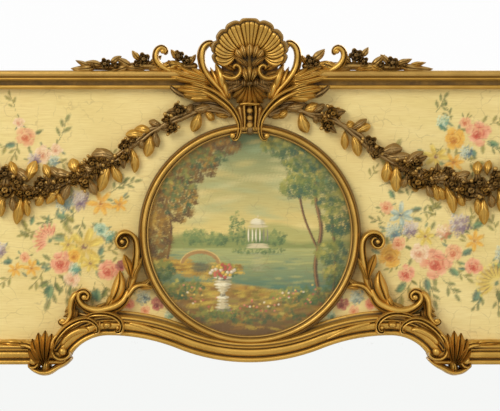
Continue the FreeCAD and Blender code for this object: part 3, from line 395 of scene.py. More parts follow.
# Cross sections of a carved band: place across (-1 to 1) and share of its height.
DOME = ((-1, 0), (-1, 0.3), (-0.92, 0.58), (-0.7, 0.82), (-0.36, 0.96), (0, 1), (0.36, 0.96),
    (0.7, 0.82), (0.92, 0.58), (1, 0.3), (1, 0))
LEAF_STEM = ((-1, 0), (-1, 0.44), (-0.9, 0.78), (-0.68, 0.98), (-0.42, 1), (-0.22, 0.86), (-0.1, 0.66),
    (0.04, 0.8), (0.3, 0.94), (0.6, 0.94), (0.86, 0.76), (1, 0.4), (1, 0))
REEDED = ((-1, 0), (-1, 0.42), (-0.92, 0.66), (-0.8, 0.74), (-0.68, 0.66), (-0.56, 0.72), (-0.3, 0.94),
    (0, 1), (0.3, 0.94), (0.56, 0.72), (0.68, 0.66), (0.8, 0.74), (0.92, 0.66), (1, 0.42), (1, 0))
SCROLL = ((-1, 0), (-1, 0.42), (-0.93, 0.7), (-0.76, 0.88), (-0.45, 0.98), (-0.1, 1), (0.16, 0.95),
    (0.33, 0.8), (0.44, 0.62), (0.56, 0.74), (0.72, 0.82), (0.88, 0.68), (1, 0.38), (1, 0))


class Carving:
    """The closed shells of one carved piece."""

    def __init__(self):
        self.shells = []

    def add(self, shell, tone=0.0):
        self.shells.append((*outward(*shell), tone))

    def band(self, points, widths, low, highs, section=DOME, tone=0.0, ends=(1.0, 1.0), pitch=1.7):
        """A band along a line; ends gives how far each end tapers, in widths."""
        rough = np.asarray(points, float)
        length = np.linalg.norm(np.diff(rough, axis=0), axis=1).sum()
        count = int(min(max(length / pitch, 14), 190))
        line = smooth(points, count)
        wide, high = eased(widths, count), eased(highs, count)
        low = eased(low, count)
        along = np.linspace(0, length, count)
        round_off = np.ones(count)
        for distance, end, edge in ((along, ends[0], wide[0]), (length - along, ends[1], wide[-1])):
            reach = max(edge * end * 0.6, 0.5)
            near = np.clip(distance / reach, 0, 1)
            round_off *= np.sqrt(np.clip(1 - (1 - near) ** 2, 0.0004, 1))
        wide = wide * round_off
        high = low + (high - low) * (0.25 + 0.75 * round_off)
        u, v = smooth(section, 4 * len(section) // 3 + 6).T
        u[0], u[-1] = u[0] * 0.9, u[-1] * 0.9
        across = sideways(line)
        x = line[:, :1] + across[:, :1] * u * wide[:, None] / 2
        z = line[:, 1:] + across[:, 1:] * u * wide[:, None] / 2
        out = low[:, None] + (high - low)[:, None] * v
        self.add(loft(np.stack([x, out, z], -1)), tone)

    def leaf(self, base, tip, width, low, high, bend=0.0, cup=-0.35, rib=0.22, curl=0.0, tone=0.0,
            lift=0.45, fullest=0.42, veins=0, blunt=0.72):
        """A leaf from its base to its tip: cup bows it across, rib grooves it, curl lifts its tip."""
        start, end = np.array(base, float), np.array(tip, float)
        run = end - start
        length = np.linalg.norm(run)
        middle = (start + end) / 2 + np.array([-run[1], run[0]]) * bend
        along, over = int(max(16, min(length / 1.5, 46))), 15
        t = np.linspace(0, 1, along)[:, None]
        u = np.linspace(-1, 1, over)[None, :]
        power = math.log(0.5) / math.log(fullest)
        wide = np.sin(np.pi * np.clip(t, 0.012, 0.988) ** power) ** blunt
        half = np.maximum(wide * width / 2, 0.35)
        at = np.repeat(t, over, 1)[..., None]
        line = start * (1 - at) ** 2 + middle * 2 * at * (1 - at) + end * at ** 2
        slope = 2 * (1 - at) * (middle - start) + 2 * at * (end - middle)
        slope /= np.linalg.norm(slope, axis=-1)[..., None]
        x = line[..., 0] - slope[..., 1] * u * half
        z = line[..., 1] + slope[..., 0] * u * half
        rise = high - low
        relief = sizes().relief
        crown = (0.55 + 0.45 * np.sin(np.pi * np.clip(t, 0, 1) ** 0.8)) + curl * t ** 3
        shape = crown + cup * u ** 2 * (0.4 + 0.6 * np.sin(np.pi * t))
        shape = shape - rib * relief * np.exp(-(u / 0.13) ** 2) * (1 - t) ** 0.4
        if veins:
            ripple = np.cos(2 * np.pi * (veins * t - 0.9 * np.abs(u)))
            shape = shape + 0.07 * relief * ripple * np.abs(u) * np.sin(np.pi * t)
        front = low + rise * np.clip(shape, 0.12, 2)
        back_share = np.array([0.8, 0.4, -0.4, -0.8])[None, :]
        free = lift * rise * np.clip((t - 0.35) / 0.65, 0, 1) ** 1.3
        back_x = line[:, over // 2, :1] - slope[:, over // 2, 1:] * back_share * half
        back_z = line[:, over // 2, 1:] + slope[:, over // 2, :1] * back_share * half
        back_out = np.minimum(low + free + 0 * back_share, front.min(1, keepdims=True) - 0.6)
        rings = np.stack([np.concatenate([x, back_x], 1), np.concatenate([front, back_out], 1),
            np.concatenate([z, back_z], 1)], -1)
        self.add(loft(rings), tone)

    def ball(self, x, z, radius, out, stretch=(1, 1, 1), tone=0.0, around=20):
        """A round bead, stretched across, outwards and up."""
        polar = np.linspace(0.06, np.pi - 0.06, around * 2 // 3)[:, None]
        turn = np.linspace(0, 2 * np.pi, around, endpoint=False)[None, :]
        rings = np.stack([x + radius * stretch[0] * np.sin(polar) * np.cos(turn),
            out + radius * stretch[1] * np.cos(polar) + 0 * turn,
            z + radius * stretch[2] * np.sin(polar) * np.sin(turn)], -1)
        self.add(loft(rings), tone)

    def bloom(self, x, z, radius, low, high, spin=0.0, petals=5, tilt=(0.0, 0.0), tone=0.8, open_=0.0):
        """An open rose: two rows of cupped petals round a bud."""
        share = np.array([0.04, 0.12, 0.2, 0.27, 0.3, 0.34, 0.42, 0.5, 0.57, 0.61, 0.64, 0.7, 0.78,
            0.86, 0.93, 0.98, 1.0])[:, None]
        turn = np.linspace(0, 2 * np.pi, 44, endpoint=False)[None, :] + spin
        petal = lambda angle: np.abs(np.cos(petals / 2 * angle)) ** 3.5
        outer, inner = petal(turn), petal(turn + np.pi / petals)
        s_in, s_out = np.clip((share - 0.3) / 0.31, 0, 1), np.clip((share - 0.61) / 0.39, 0, 1)
        bud = 0.98 - 2.2 * share ** 2 + 0.07 * np.cos(2 * turn + 22 * share)
        bud = bud - open_ * np.exp(-(share / 0.12) ** 2)
        second = 0.56 + 0.34 * s_in ** 0.8 - 0.4 * inner
        first = 0.26 + 0.42 * s_out ** 0.7 - 0.30 * s_out ** 5 - 0.3 * outer
        shape = np.where(share < 0.3, bud, np.where(share < 0.61, second, first))
        edge = 1 - 0.26 * outer * s_out ** 0.5
        reach = radius * share * edge
        px, pz = reach * np.cos(turn), reach * np.sin(turn)
        out = low + (high - low) * np.clip(shape, 0.1, 1.1) + tilt[0] * px + tilt[1] * pz
        rings = np.stack([x + px, np.maximum(out, low + 1), z + pz], -1)
        foot = rings[-1:].copy()
        foot[..., 0] = x + (foot[..., 0] - x) * 0.86
        foot[..., 2] = z + (foot[..., 2] - z) * 0.86
        foot[..., 1] = low
        self.add(loft(np.concatenate([rings, foot])), tone)

    def scroll(self, points, widths, low, highs, eye=None, eye_radius=0, section=SCROLL, tone=0.0,
            ends=(1.0, 1.0)):
        """A band that winds in to a round eye."""
        self.band(points, widths, low, highs, section, tone, ends)
        if eye:
            top = highs[-1] if np.ndim(highs) else highs
            self.ball(*eye, eye_radius, top - eye_radius * 0.55, (1, 0.9, 1), tone)

    def opened(self):
        """Brought from the drawing to full size, about the middle of the view."""
        for v, *_ in self.shells:
            v[:, 0] *= OPENED
            v[:, 2] = VIEW_Z + (v[:, 2] - VIEW_Z) * OPENED
        return self

    def placed(self, flip=False):
        """All the shells in one: corners, quads, triangles and tones."""
        verts, quads, tris, tones, start = [], [], [], [], 0
        for v, q, t, tone in self.shells:
            if flip:
                v, q, t = outward(v * (-1, 1, 1), q, t)
            verts.append(v)
            quads.append(q + start)
            tris.append(t + start)
            tones.append(np.broadcast_to(tone, len(v)))
            start += len(v)
        return (np.concatenate(verts), np.concatenate(quads), np.concatenate(tris),
            np.concatenate(tones))


def tooled(verts, seed):
    """The unevenness of hand work: a slow wander of a fraction of a millimetre."""
    amount = sizes().tooling / MM
    rng = np.random.default_rng(seed)
    moved = verts.copy()
    for _ in range(4):
        wave = rng.normal(size=3) * 0.11
        phase = rng.uniform(0, 6.28)
        swing = rng.normal(size=3)
        swing[1] = abs(swing[1]) * 0.5
        moved += np.sin(verts @ wave + phase)[:, None] * swing * amount * 0.45
    moved[:, 1] = np.where(verts[:, 1] <= BOARD + 0.01, verts[:, 1], moved[:, 1])
    return moved


def mesh_object(name, verts, quads, tris, finish, body="frame", nodes=(), tones=None,
        crease=48.0):
    """A mesh in metres from corners in millimetres (x, out, z), riding on its body."""
    mesh = bpy.data.meshes.new(name)
    points = np.stack([verts[:, 0], -verts[:, 1], verts[:, 2]], 1) * MM
    mesh.vertices.add(len(points))
    mesh.vertices.foreach_set("co", points.astype(np.float32).ravel())
    # Turning "out" into -y mirrors the shell, so its faces are turned too.
    corners = np.concatenate([quads[:, ::-1].ravel(), tris[:, ::-1].ravel()]).astype(np.int32)
    totals = np.concatenate([np.full(len(quads), 4), np.full(len(tris), 3)])
    mesh.loops.add(len(corners))
    mesh.loops.foreach_set("vertex_index", corners)
    mesh.polygons.add(len(totals))
    starts = np.concatenate([[0], np.cumsum(totals)[:-1]]).astype(np.int32)
    mesh.polygons.foreach_set("loop_start", starts)
    mesh.update(calc_edges=True)
    mesh.validate()
    if tones is not None:
        set_values(mesh, "tone", tones)
    mesh.shade_smooth()
    mesh.set_sharp_from_angle(angle=math.radians(crease))
    return dressed(bpy.data.objects.new(name, mesh), finish, body, nodes)


def dressed(piece, finish, body="frame", nodes=()):
    """Give a piece its finish and its place in the frame."""
    if piece.name not in bpy.context.scene.collection.objects:
        bpy.context.scene.collection.objects.link(piece)
    piece.data.materials.clear()
    piece.data.materials.append(finishes[finish])
    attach(piece, body)
    if nodes:
        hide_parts(*nodes)
    return piece


def set_values(mesh, name, values):
    found = mesh.attributes.get(name) or mesh.attributes.new(name, "FLOAT", "POINT")
    found.data.foreach_set("value", np.asarray(values, np.float32))


def carved(name, carving, flip=False, nodes=(), seed=1):
    """A finished carving from its shells."""
    verts, quads, tris, tones = carving.placed(flip)
    verts = tooled(verts, seed + (11 if flip else 0))
    return mesh_object(name, verts, quads, tris, "gold", nodes=nodes, tones=tones)


# ---- the sight edge ---------------------------------------------------------------

def end_turn(lift):
    return np.arccos((SIGHT_SIDE + lift - END_Z) / (END_R + lift))


def sight_line(x, lift):
    """Height of the line that runs beside the sight edge, at distance lift above it."""
    x = np.abs(np.asarray(x, float))
    hollow, swell, end = HOLLOW_R - lift, SWELL_R + lift, END_R + lift
    first = HOLLOW_Z - np.sqrt(np.maximum(hollow ** 2 - x ** 2, 0))
    second = SWELL_Z + np.sqrt(np.maximum(swell ** 2 - (x - ARCH_X) ** 2, 0))
    third = END_Z + np.sqrt(np.maximum(end ** 2 - (x - ARCH_X) ** 2, 0))
    corner = ARCH_X + end * math.sin(float(end_turn(lift)))
    low = np.where(x < math.sin(TURN) * hollow, first, second)
    return np.where(x < ARCH_X, low, np.where(x < corner, third, SIGHT_SIDE + lift))


# ---- node trees -------------------------------------------------------------------

def new_tree(name, inputs):
    """An empty node tree with its named inputs."""
    tree = bpy.data.node_groups.new(name, "GeometryNodeTree")
    tree.interface.new_socket("Geometry", in_out="INPUT", socket_type="NodeSocketGeometry")
    tree.interface.new_socket("Geometry", in_out="OUTPUT", socket_type="NodeSocketGeometry")
    for label, kind in inputs:
        tree.interface.new_socket(label, in_out="INPUT", socket_type="NodeSocket" + kind)
    return tree, tree.nodes.new("NodeGroupInput"), tree.nodes.new("NodeGroupOutput")


def ended(tree, given, result, socket):
    """End a tree: what it has made becomes plain mesh in its finish."""
    real = tree.nodes.new("GeometryNodeRealizeInstances")
    finish = tree.nodes.new("GeometryNodeSetMaterial")
    tree.links.new(socket, real.inputs["Geometry"])
    tree.links.new(real.outputs["Geometry"], finish.inputs["Geometry"])
    tree.links.new(given.outputs["Finish"], finish.inputs["Material"])
    tree.links.new(finish.outputs["Geometry"], result.inputs["Geometry"])
    return tree


def swept_tree():
    """A closed section swept round part of a circle."""
    tree, given, result = new_tree("swept_round", (("Radius", "Float"), ("Start", "Float"),
        ("Turn", "Float"), ("Stations", "Int"), ("Section", "Object"), ("Finish", "Material")))
    node, link = tree.nodes.new, tree.links.new
    arc, upright = node("GeometryNodeCurveArc"), node("GeometryNodeSetCurveNormal")
    cross = node("GeometryNodeObjectInfo")
    outline, sweep = node("GeometryNodeMeshToCurve"), node("GeometryNodeCurveToMesh")
    arc.mode, upright.mode = "RADIUS", "Z_UP"
    sweep.inputs["Fill Caps"].default_value = True
    for name, socket in (("Stations", "Resolution"), ("Radius", "Radius"), ("Start", "Start Angle"),
            ("Turn", "Sweep Angle")):
        link(given.outputs[name], arc.inputs[socket])
    link(arc.outputs["Curve"], upright.inputs["Curve"])
    link(given.outputs["Section"], cross.inputs["Object"])
    link(cross.outputs["Geometry"], outline.inputs["Mesh"])
    link(upright.outputs["Curve"], sweep.inputs["Curve"])
    link(outline.outputs["Curve"], sweep.inputs["Profile Curve"])
    return ended(tree, given, result, sweep.outputs["Mesh"])


def repeated_tree():
    """One head set on every given point, each a little turned, tipped and sized by hand."""
    tree, given, result = new_tree("repeated_heads", (("Head", "Object"), ("Size", "Float"),
        ("Uneven", "Float"), ("Turn", "Float"), ("Tip", "Float"), ("Seed", "Int"),
        ("Finish", "Material")))
    node, link = tree.nodes.new, tree.links.new

    def number(operation, first, second):
        part = node("ShaderNodeMath")
        part.operation = operation
        for socket, value in zip(part.inputs, (first, second)):
            if isinstance(value, (int, float)):
                socket.default_value = value
            else:
                link(value, socket)
        return part.outputs[0]

    def drawn(reach, step):
        part = node("FunctionNodeRandomValue")
        link(number("MULTIPLY", reach, -1.0), part.inputs[2])
        link(reach, part.inputs[3])
        link(number("ADD", given.outputs["Seed"], float(step)), part.inputs["Seed"])
        return part.outputs[1]

    cross, place = node("GeometryNodeObjectInfo"), node("GeometryNodeInstanceOnPoints")
    turned = node("ShaderNodeCombineXYZ")
    link(given.outputs["Head"], cross.inputs["Object"])
    for axis, (name, step) in enumerate((("Tip", 1), ("Turn", 2), ("Tip", 3))):
        link(drawn(given.outputs[name], step), turned.inputs[axis])
    link(number("MULTIPLY", given.outputs["Size"], number("ADD", drawn(given.outputs["Uneven"], 4),
        1.0)), place.inputs["Scale"])
    link(given.outputs["Geometry"], place.inputs["Points"])
    link(cross.outputs["Geometry"], place.inputs["Instance"])
    link(turned.outputs[0], place.inputs["Rotation"])
    return ended(tree, given, result, place.outputs["Instances"])


def line_mesh(name, points, closed=False, faces=()):
    """Points in metres, joined in a line where closed, as an object for a node tree."""
    mesh = bpy.data.meshes.new(name)
    count = len(points)
    mesh.from_pydata(points, [(i, (i + 1) % count) for i in range(count)] if closed else [], faces)
    mesh.update()
    holder = bpy.data.objects.new(name, mesh)
    bpy.context.scene.collection.objects.link(holder)
    return holder


def grown(name, tree, values, start=None):
    """The plain mesh a node tree makes from its inputs, and from the points of start."""
    holder = start or line_mesh(name + "_start", [(0, 0, 0)])
    modifier = holder.modifiers.new(name, "NODES")
    modifier.node_group = tree
    names = {item.name: item.identifier for item in tree.interface.items_tree if item.in_out == "INPUT"}
    for label, value in values.items():
        modifier[names[label]] = value
    bpy.context.view_layer.update()
    result = holder.evaluated_get(bpy.context.evaluated_depsgraph_get())
    mesh = bpy.data.meshes.new_from_object(result)
    bpy.data.objects.remove(holder)
    if not len(mesh.polygons):
        raise RuntimeError(f"{name}: the node tree gave no faces")
    work = bmesh.new()
    work.from_mesh(mesh)
    bmesh.ops.remove_doubles(work, verts=work.verts, dist=1e-6)
    work.to_mesh(mesh)
    work.free()
    mesh.name = name
    return bpy.data.objects.new(name, mesh)


def mesh_places(mesh):
    """The mesh's points in millimetres."""
    places = np.empty(len(mesh.vertices) * 3, np.float32)
    mesh.vertices.foreach_get("co", places)
    return places.reshape(-1, 3).astype(float) / MM


def faces_outward(mesh):
    """Turn the faces outward and check that the shell is closed."""
    work = bmesh.new()
    work.from_mesh(mesh)
    bmesh.ops.recalc_face_normals(work, faces=work.faces)
    if any(len(edge.link_faces) != 2 for edge in work.edges):
        raise RuntimeError(f"{mesh.name}: its shell isn't closed")
    work.to_mesh(mesh)
    work.free()


# ---- mouldings --------------------------------------------------------------------

FRAME_PROFILE = ((0, 0), (0, 12), (0, 21), (0.5, 23.4), (1.6, 25.8), (3.2, 27.5), (5, 28), (8, 28),
    (9.4, 27.5), (10.3, 26), (10.9, 24.4), (11.6, 23.6), (12.2, 24.2), (12.8, 26), (13.6, 27),
    (14.8, 27), (15.5, 26), (16, 24), (16.7, 21.6), (17.8, 18.4), (19.5, 15.8), (21.4, 14.2),
    (23.2, 13.5), (24.1, 13.6), (24.6, 14.8), (25.4, 16), (27, 16.5), (28.8, 16.3), (30.1, 15.3),
    (30.9, 13.4), (31, 8), (31, 0))
APRON_PROFILE = ((0, 0), (0, 15), (0.5, 18.5), (1.7, 21), (3.6, 22.2), (5.6, 22), (7.2, 20.8),
    (8, 18.4), (8.8, 16.4), (9.8, 16.2), (10.6, 18.2), (11.6, 21.2), (13.4, 23.6), (16, 24.8),
    (19, 24.9), (21.2, 24), (22.2, 22), (22.8, 20), (23.5, 20.2), (24.1, 23), (25.1, 24.7),
    (26.2, 24.7), (27.1, 23), (27.6, 20.6), (28.4, 19.6), (30.4, 20.4), (32.3, 19.2), (34, 16.4),
    (35.7, 12.4), (37.4, 9.8), (39.2, 8.8), (41.2, 8.4), (42, 7.2), (42, 0))
RING_PROFILE = ((190, 0), (190, 11), (189.5, 13.4), (188.2, 14.8), (187, 14.6), (186.3, 13.2),
    (185.7, 14.6), (185, 17.6), (183.8, 20.2), (182, 21.8), (180.4, 21.9), (179, 21), (178, 19),
    (177.5, 16.6), (176.9, 16), (176.2, 17.4), (175.4, 18), (174.7, 16.8), (174.2, 14.6), (173.5, 14.8),
    (172.9, 13.6), (172.3, 10.8), (172, 8), (172, 6.2), (178, 6.1), (178, 0))


def straight_moulding(name, length, node, place):
    """One side of the frame, mitred; place turns (along, in, out) into (x, out, z)."""
    profile = np.array(FRAME_PROFILE, float)
    share = np.linspace(-1, 1, 201)[:, None]
    along = share * (length / 2 - profile[None, :, 0])
    into = np.broadcast_to(profile[None, :, 0], along.shape)
    out = BOARD + np.broadcast_to(profile[None, :, 1], along.shape)
    verts, quads, tris = outward(*loft(np.stack(place(along, into, out), -1)))
    verts = softened(verts)
    if name == "frame_top":
        # Cut back to a flat behind the crest, which is fixed over it.
        behind = np.clip((CREST_HALF - np.abs(verts[:, 0])) / 6, 0, 1)
        verts[:, 1] -= behind * np.clip(verts[:, 1] - BOARD - 12, 0, None)
    edge = np.minimum(HALF - np.abs(verts[:, 0]), np.minimum(verts[:, 2], TOP - verts[:, 2]))
    mesh_object(name, verts, quads, tris, "gold", nodes=[node],
        tones=0.34 * (edge < 10.4), crease=60)


def softened(verts):
    """A little hand-planed wander in a moulding's face, none at its back or its edges."""
    amount = sizes().tooling / MM * 0.6
    ripple = np.sin(verts[:, 0] * 0.021 + verts[:, 2] * 0.017) + np.sin(verts[:, 0] * 0.063 + 1
        + verts[:, 2] * 0.049)
    moved = verts.copy()
    moved[:, 1] -= np.where(verts[:, 1] > BOARD + 8, np.abs(ripple) * amount, 0)
    return moved


class TRUMEAU_OT_mouldings(bpy.types.Operator):
    """Make the four straight sides of the frame"""
    bl_idname = "trumeau.mouldings"
    bl_label = "Frame mouldings"

    def execute(self, context):
        middle = TOP / 2
        straight_moulding("frame_top", 2 * HALF, "top_moulding", lambda a, i, o: (a, o, TOP - i))
        straight_moulding("frame_foot", 2 * HALF, "bottom_moulding", lambda a, i, o: (a, o, 0 + i))
        straight_moulding("frame_left", TOP, "side_moulding_left", lambda a, i,
            o: (-HALF + i, o, middle + a))
        straight_moulding("frame_right", TOP, "side_moulding_right", lambda a, i,
            o: (HALF - i, o, middle + a))
        return {"FINISHED"}


def apron_run(stations, profile):
    """Rings across the serpentine moulding, from a function of (station, lift)."""
    lift, rise = profile[:, 0], BOARD + profile[:, 1]
    rings = []
    for station in stations:
        x, z = station(lift)
        rings.append(np.stack([x, rise, z], -1))
    return np.array(rings)


class TRUMEAU_OT_apron(bpy.types.Operator):
    """Make the serpentine moulding over the mirror: its middle and its two ends"""
    bl_idname = "trumeau.apron"
    bl_label = "Serpentine moulding"

    def execute(self, context):
        profile = np.array(APRON_PROFILE, float)

        def hollow(angle):
            return lambda u: (math.sin(angle) * (HOLLOW_R - u),
                HOLLOW_Z - math.cos(angle) * (HOLLOW_R - u))

        def swell(side, angle):
            return lambda u: (side * (ARCH_X - math.sin(angle) * (SWELL_R + u)),
                SWELL_Z + math.cos(angle) * (SWELL_R + u))

        turns = np.linspace(0, TURN, 44)
        stations = [swell(-1, a) for a in turns[:-1]]
        stations += [hollow(a) for a in np.linspace(-TURN, TURN, 88)]
        stations += [swell(1, a) for a in turns[::-1][1:]]
        self.piece("apron_centre", "apron_moulding_centre", apron_run(stations, profile))
        for side, word in SIDES:
            def curve(share):
                return lambda u: (side * (ARCH_X + np.sin(share * end_turn(u)) * (END_R + u)),
                    END_Z + np.cos(share * end_turn(u)) * (END_R + u))

            def level(share):
                def at(u):
                    corner = ARCH_X + np.sin(end_turn(u)) * (END_R + u)
                    return (side * (corner + (INNER_EDGE - corner) * share), SIGHT_SIDE + u)
                return at

            stations = [curve(s) for s in np.linspace(0, 1, 40)]
            stations += [level(s) for s in np.linspace(0, 1, 60)[1:]]
            self.piece(f"apron_{word}", f"apron_moulding_{word}", apron_run(stations, profile))
        return {"FINISHED"}

    def piece(self, name, node, rings):
        verts, quads, tris = outward(*loft(rings))
        verts = softened(verts)
        mesh_object(name, verts, quads, tris, "gold", nodes=[node],
            tones=np.zeros(len(verts)), crease=60)


class TRUMEAU_OT_ring(bpy.types.Operator):
    """Turn the round frame in four segments"""
    bl_idname = "trumeau.ring"
    bl_label = "Round frame"

    def execute(self, context):
        tree = swept_tree()
        middle = 181.0
        section = line_mesh("ring_section", [((middle - radius) * MM, rise * MM, 0) for radius,
            rise in RING_PROFILE], True)
        for number in range(4):
            piece = grown(f"ring_{number + 1}", tree, {"Radius": middle * MM,
                "Start": math.radians(-90 * number), "Turn": math.radians(90), "Stations": 80,
                "Section": section, "Finish": finishes["gold"]})
            verts = mesh_places(piece.data)
            verts = np.stack([verts[:, 0], BOARD - verts[:, 2], verts[:, 1] + RING_Z], 1)
            verts = softened(verts)
            points = np.stack([verts[:, 0], -verts[:, 1], verts[:, 2]], 1) * MM
            piece.data.vertices.foreach_set("co", points.astype(np.float32).ravel())
            faces_outward(piece.data)
            reach = np.hypot(verts[:, 0], verts[:, 2] - RING_Z)
            set_values(piece.data, "tone", np.where(reach > 186.2, 0.9,
                np.where(reach < 177.2, 0.45, 0.12)))
            piece.data.shade_smooth()
            piece.data.set_sharp_from_angle(angle=math.radians(60))
            dressed(piece, "gold", nodes=[f"ring_moulding_{number + 1}"])
        bpy.data.objects.remove(section)
        return {"FINISHED"}


# ---- painting ---------------------------------------------------------------------

def linear(red, green, blue):
    """A colour as it is seen, from 0 to 255, made linear."""
    c = np.array([red, green, blue], float) / 255
    return np.where(c <= 0.04045, c / 12.92, ((c + 0.055) / 1.055) ** 2.4)


class Painting:
    """Paint laid stroke by stroke on a sheet of points, in millimetres."""

    def __init__(self, x, z, ground, seed):
        self.x, self.z = x, z
        self.rgb = np.tile(np.asarray(ground, float), (len(x), 1))
        self.rng = np.random.default_rng(seed)
        self.bristle = (np.sin(x * 1.9 + np.sin(z * 1.3) * 2) * np.sin(z * 2.3 + np.sin(x * 0.9) * 2)
            + 0.6 * np.sin(x * 0.7 - z * 0.9) * np.sin(x * 0.31 + z * 0.57))

    def stroke(self, x, z, long, wide, degrees, tint, cover=0.8, soft=0.4, rag=0.14, shade=None):
        """One soft oval stroke; shade is the tint at its far end."""
        reach = max(long, wide) * 1.2
        near = np.nonzero((np.abs(self.x - x) < reach) & (np.abs(self.z - z) < reach))[0]
        if not len(near):
            return
        angle = math.radians(degrees)
        dx, dz = self.x[near] - x, self.z[near] - z
        u = (dx * math.cos(angle) + dz * math.sin(angle)) / long
        v = (dz * math.cos(angle) - dx * math.sin(angle)) / wide
        inside = 1 - np.sqrt(u * u + v * v) + rag * self.bristle[near]
        share = np.clip(inside / max(soft, 0.05), 0, 1)
        share = (share * share * (3 - 2 * share) * cover)[:, None]
        tint = np.asarray(tint, float)
        if shade is not None:
            blend = np.clip(0.5 - 0.5 * u, 0, 1)[:, None]
            tint = tint * (1 - blend) + np.asarray(shade, float) * blend
        self.rgb[near] += share * (tint - self.rgb[near])

    def line(self, points, width, tint, cover=0.7):
        """A thin brush line through a few points."""
        path = smooth(points, max(4, int(np.linalg.norm(np.diff(points, axis=0), axis=1).sum() / 2)))
        for (x, z), (nx, nz) in zip(path, path[1:]):
            turn = math.degrees(math.atan2(nz - z, nx - x))
            self.stroke((x + nx) / 2, (z + nz) / 2, 2.6, width, turn, tint, cover, 0.7)

    def leaf(self, x, z, length, degrees, dark, light, cover=0.75, fat=0.46):
        """A painted leaf from its stalk: a dark half, a light half and a vein."""
        angle = math.radians(degrees)
        ux, uz = math.cos(angle), math.sin(angle)
        cx, cz = x + ux * length / 2, z + uz * length / 2
        wide = length * fat / 2
        self.stroke(cx, cz, length / 2, wide, degrees, dark, cover, 0.6, 0.12)
        self.stroke(cx - uz * wide * 0.35, cz + ux * wide * 0.35, length * 0.40, wide * 0.55, degrees,
            light, cover * 0.85, 0.8, 0.12)
        self.stroke(cx + ux * length * 0.2, cz + uz * length * 0.2, length * 0.18, wide * 0.3, degrees,
            light * 1.15, cover * 0.5, 0.9)
        self.line([(x, z), (x + ux * length * 0.9, z + uz * length * 0.9)], 0.9, dark, 0.45)

    def rose(self, x, z, radius, deep, mid, pale, cover=0.8):
        """A full rose: a pale body, broad curled petals, a deep heart and a deep upper edge."""
        start = self.rng.uniform(0, 360)
        self.stroke(x, z, radius * 0.84, radius * 0.76, start, mid, cover, 0.35, 0.2, shade=pale)
        for step in range(6):
            turn = start + step * 60 + self.rng.uniform(-16, 16)
            angle, out = math.radians(turn), radius * self.rng.uniform(0.56, 0.78)
            ux, uz = math.cos(angle), math.sin(angle)
            tint, other = (pale, mid) if step % 2 else (mid, pale)
            self.stroke(x + ux * out, z + uz * out, radius * 0.34, radius * 0.48, turn, tint, cover,
                0.42, 0.16, shade=other)
            self.stroke(x + ux * radius * 0.44, z + uz * radius * 0.44, radius * 0.08, radius * 0.3,
                turn, deep, cover * 0.7, 0.8)
            self.stroke(x + ux * (out + radius * 0.2), z + uz * (out + radius * 0.2), radius * 0.08,
                radius * 0.34, turn, pale * 1.04, cover * 0.9, 0.8)
            self.stroke(x + math.cos(angle + 0.52) * radius * 0.72,
                z + math.sin(angle + 0.52) * radius * 0.72, radius * 0.24, radius * 0.06, turn + 30,
                deep, cover * 0.55, 0.8)
        for step in range(5):
            angle = math.radians(start + step * 72)
            self.stroke(x - radius * 0.08 + math.cos(angle) * radius * 0.26,
                z - radius * 0.12 + math.sin(angle) * radius * 0.24, radius * 0.14, radius * 0.26,
                start + step * 72, mid, cover, 0.7, 0.1, shade=deep)
        self.stroke(x - radius * 0.08, z - radius * 0.14, radius * 0.3, radius * 0.24, start + 40, deep,
            0.85, 0.7)
        self.stroke(x - radius * 0.16, z - radius * 0.02, radius * 0.16, radius * 0.06, start, pale,
            0.7, 0.8)

    def star(self, x, z, radius, count, pale, deep, heart, spin=0.0, fat=0.26, cover=0.85):
        """An open flower of long petals, shaded at heart and tip."""
        for step in range(count):
            turn = spin + step * 360 / count + self.rng.uniform(-12, 12)
            angle = math.radians(turn)
            along = radius * self.rng.uniform(0.9, 1.12)
            ux, uz = math.cos(angle), math.sin(angle)
            px, pz = x + ux * along * 0.52, z + uz * along * 0.52
            self.stroke(px, pz, along * 0.52, radius * fat, turn, pale, cover, 0.45, 0.1, shade=deep)
            self.stroke(px - uz * radius * fat * 0.4, pz + ux * radius * fat * 0.4, along * 0.42,
                radius * fat * 0.3, turn, deep, 0.5, 0.8)
            self.stroke(px + uz * radius * fat * 0.3, pz - ux * radius * fat * 0.3, along * 0.34,
                radius * fat * 0.26, turn, pale * 1.12, 0.6, 0.8)
            self.stroke(x + ux * along * 0.94, z + uz * along * 0.94, radius * 0.1, radius * fat * 0.5,
                turn, heart, 0.45, 0.8)
        self.stroke(x, z, radius * 0.22, radius * 0.17, 20, heart, 0.85, 0.7)
        self.stroke(x + radius * 0.05, z + radius * 0.05, radius * 0.09, radius * 0.07, 0, pale, 0.6,
            0.7)

    def cluster(self, x, z, radius, count, pale, mid, dark, cover=0.8):
        """A close head of small florets."""
        self.stroke(x, z, radius, radius * 0.9, 30, mid, 0.6, 0.5, 0.2)
        self.stroke(x + radius * 0.3, z - radius * 0.35, radius * 0.6, radius * 0.5, 30, dark, 0.5, 0.7,
            0.2)
        for step in range(count):
            turn, reach = step * GOLDEN_TURN, radius * math.sqrt((step + 0.5) / count)
            px, pz = x + math.cos(turn) * reach, z + math.sin(turn) * reach
            size = radius * self.rng.uniform(0.24, 0.34)
            shade = (pz - z - px + x) / radius + self.rng.normal() * 0.4
            tint = pale if shade > -0.1 else mid if shade > -0.9 else dark
            for petal in range(4):
                angle = turn + petal * math.pi / 2
                self.stroke(px + math.cos(angle) * size * 0.5, pz + math.sin(angle) * size * 0.5,
                    size * 0.62, size * 0.46, math.degrees(angle), tint, cover * 0.8, 0.7)
            self.stroke(px, pz, size * 0.24, size * 0.24, 0, dark, 0.6, 0.7)


def tints(*colours):
    """Several seen colours, made linear."""
    return tuple(linear(*seen) for seen in colours)


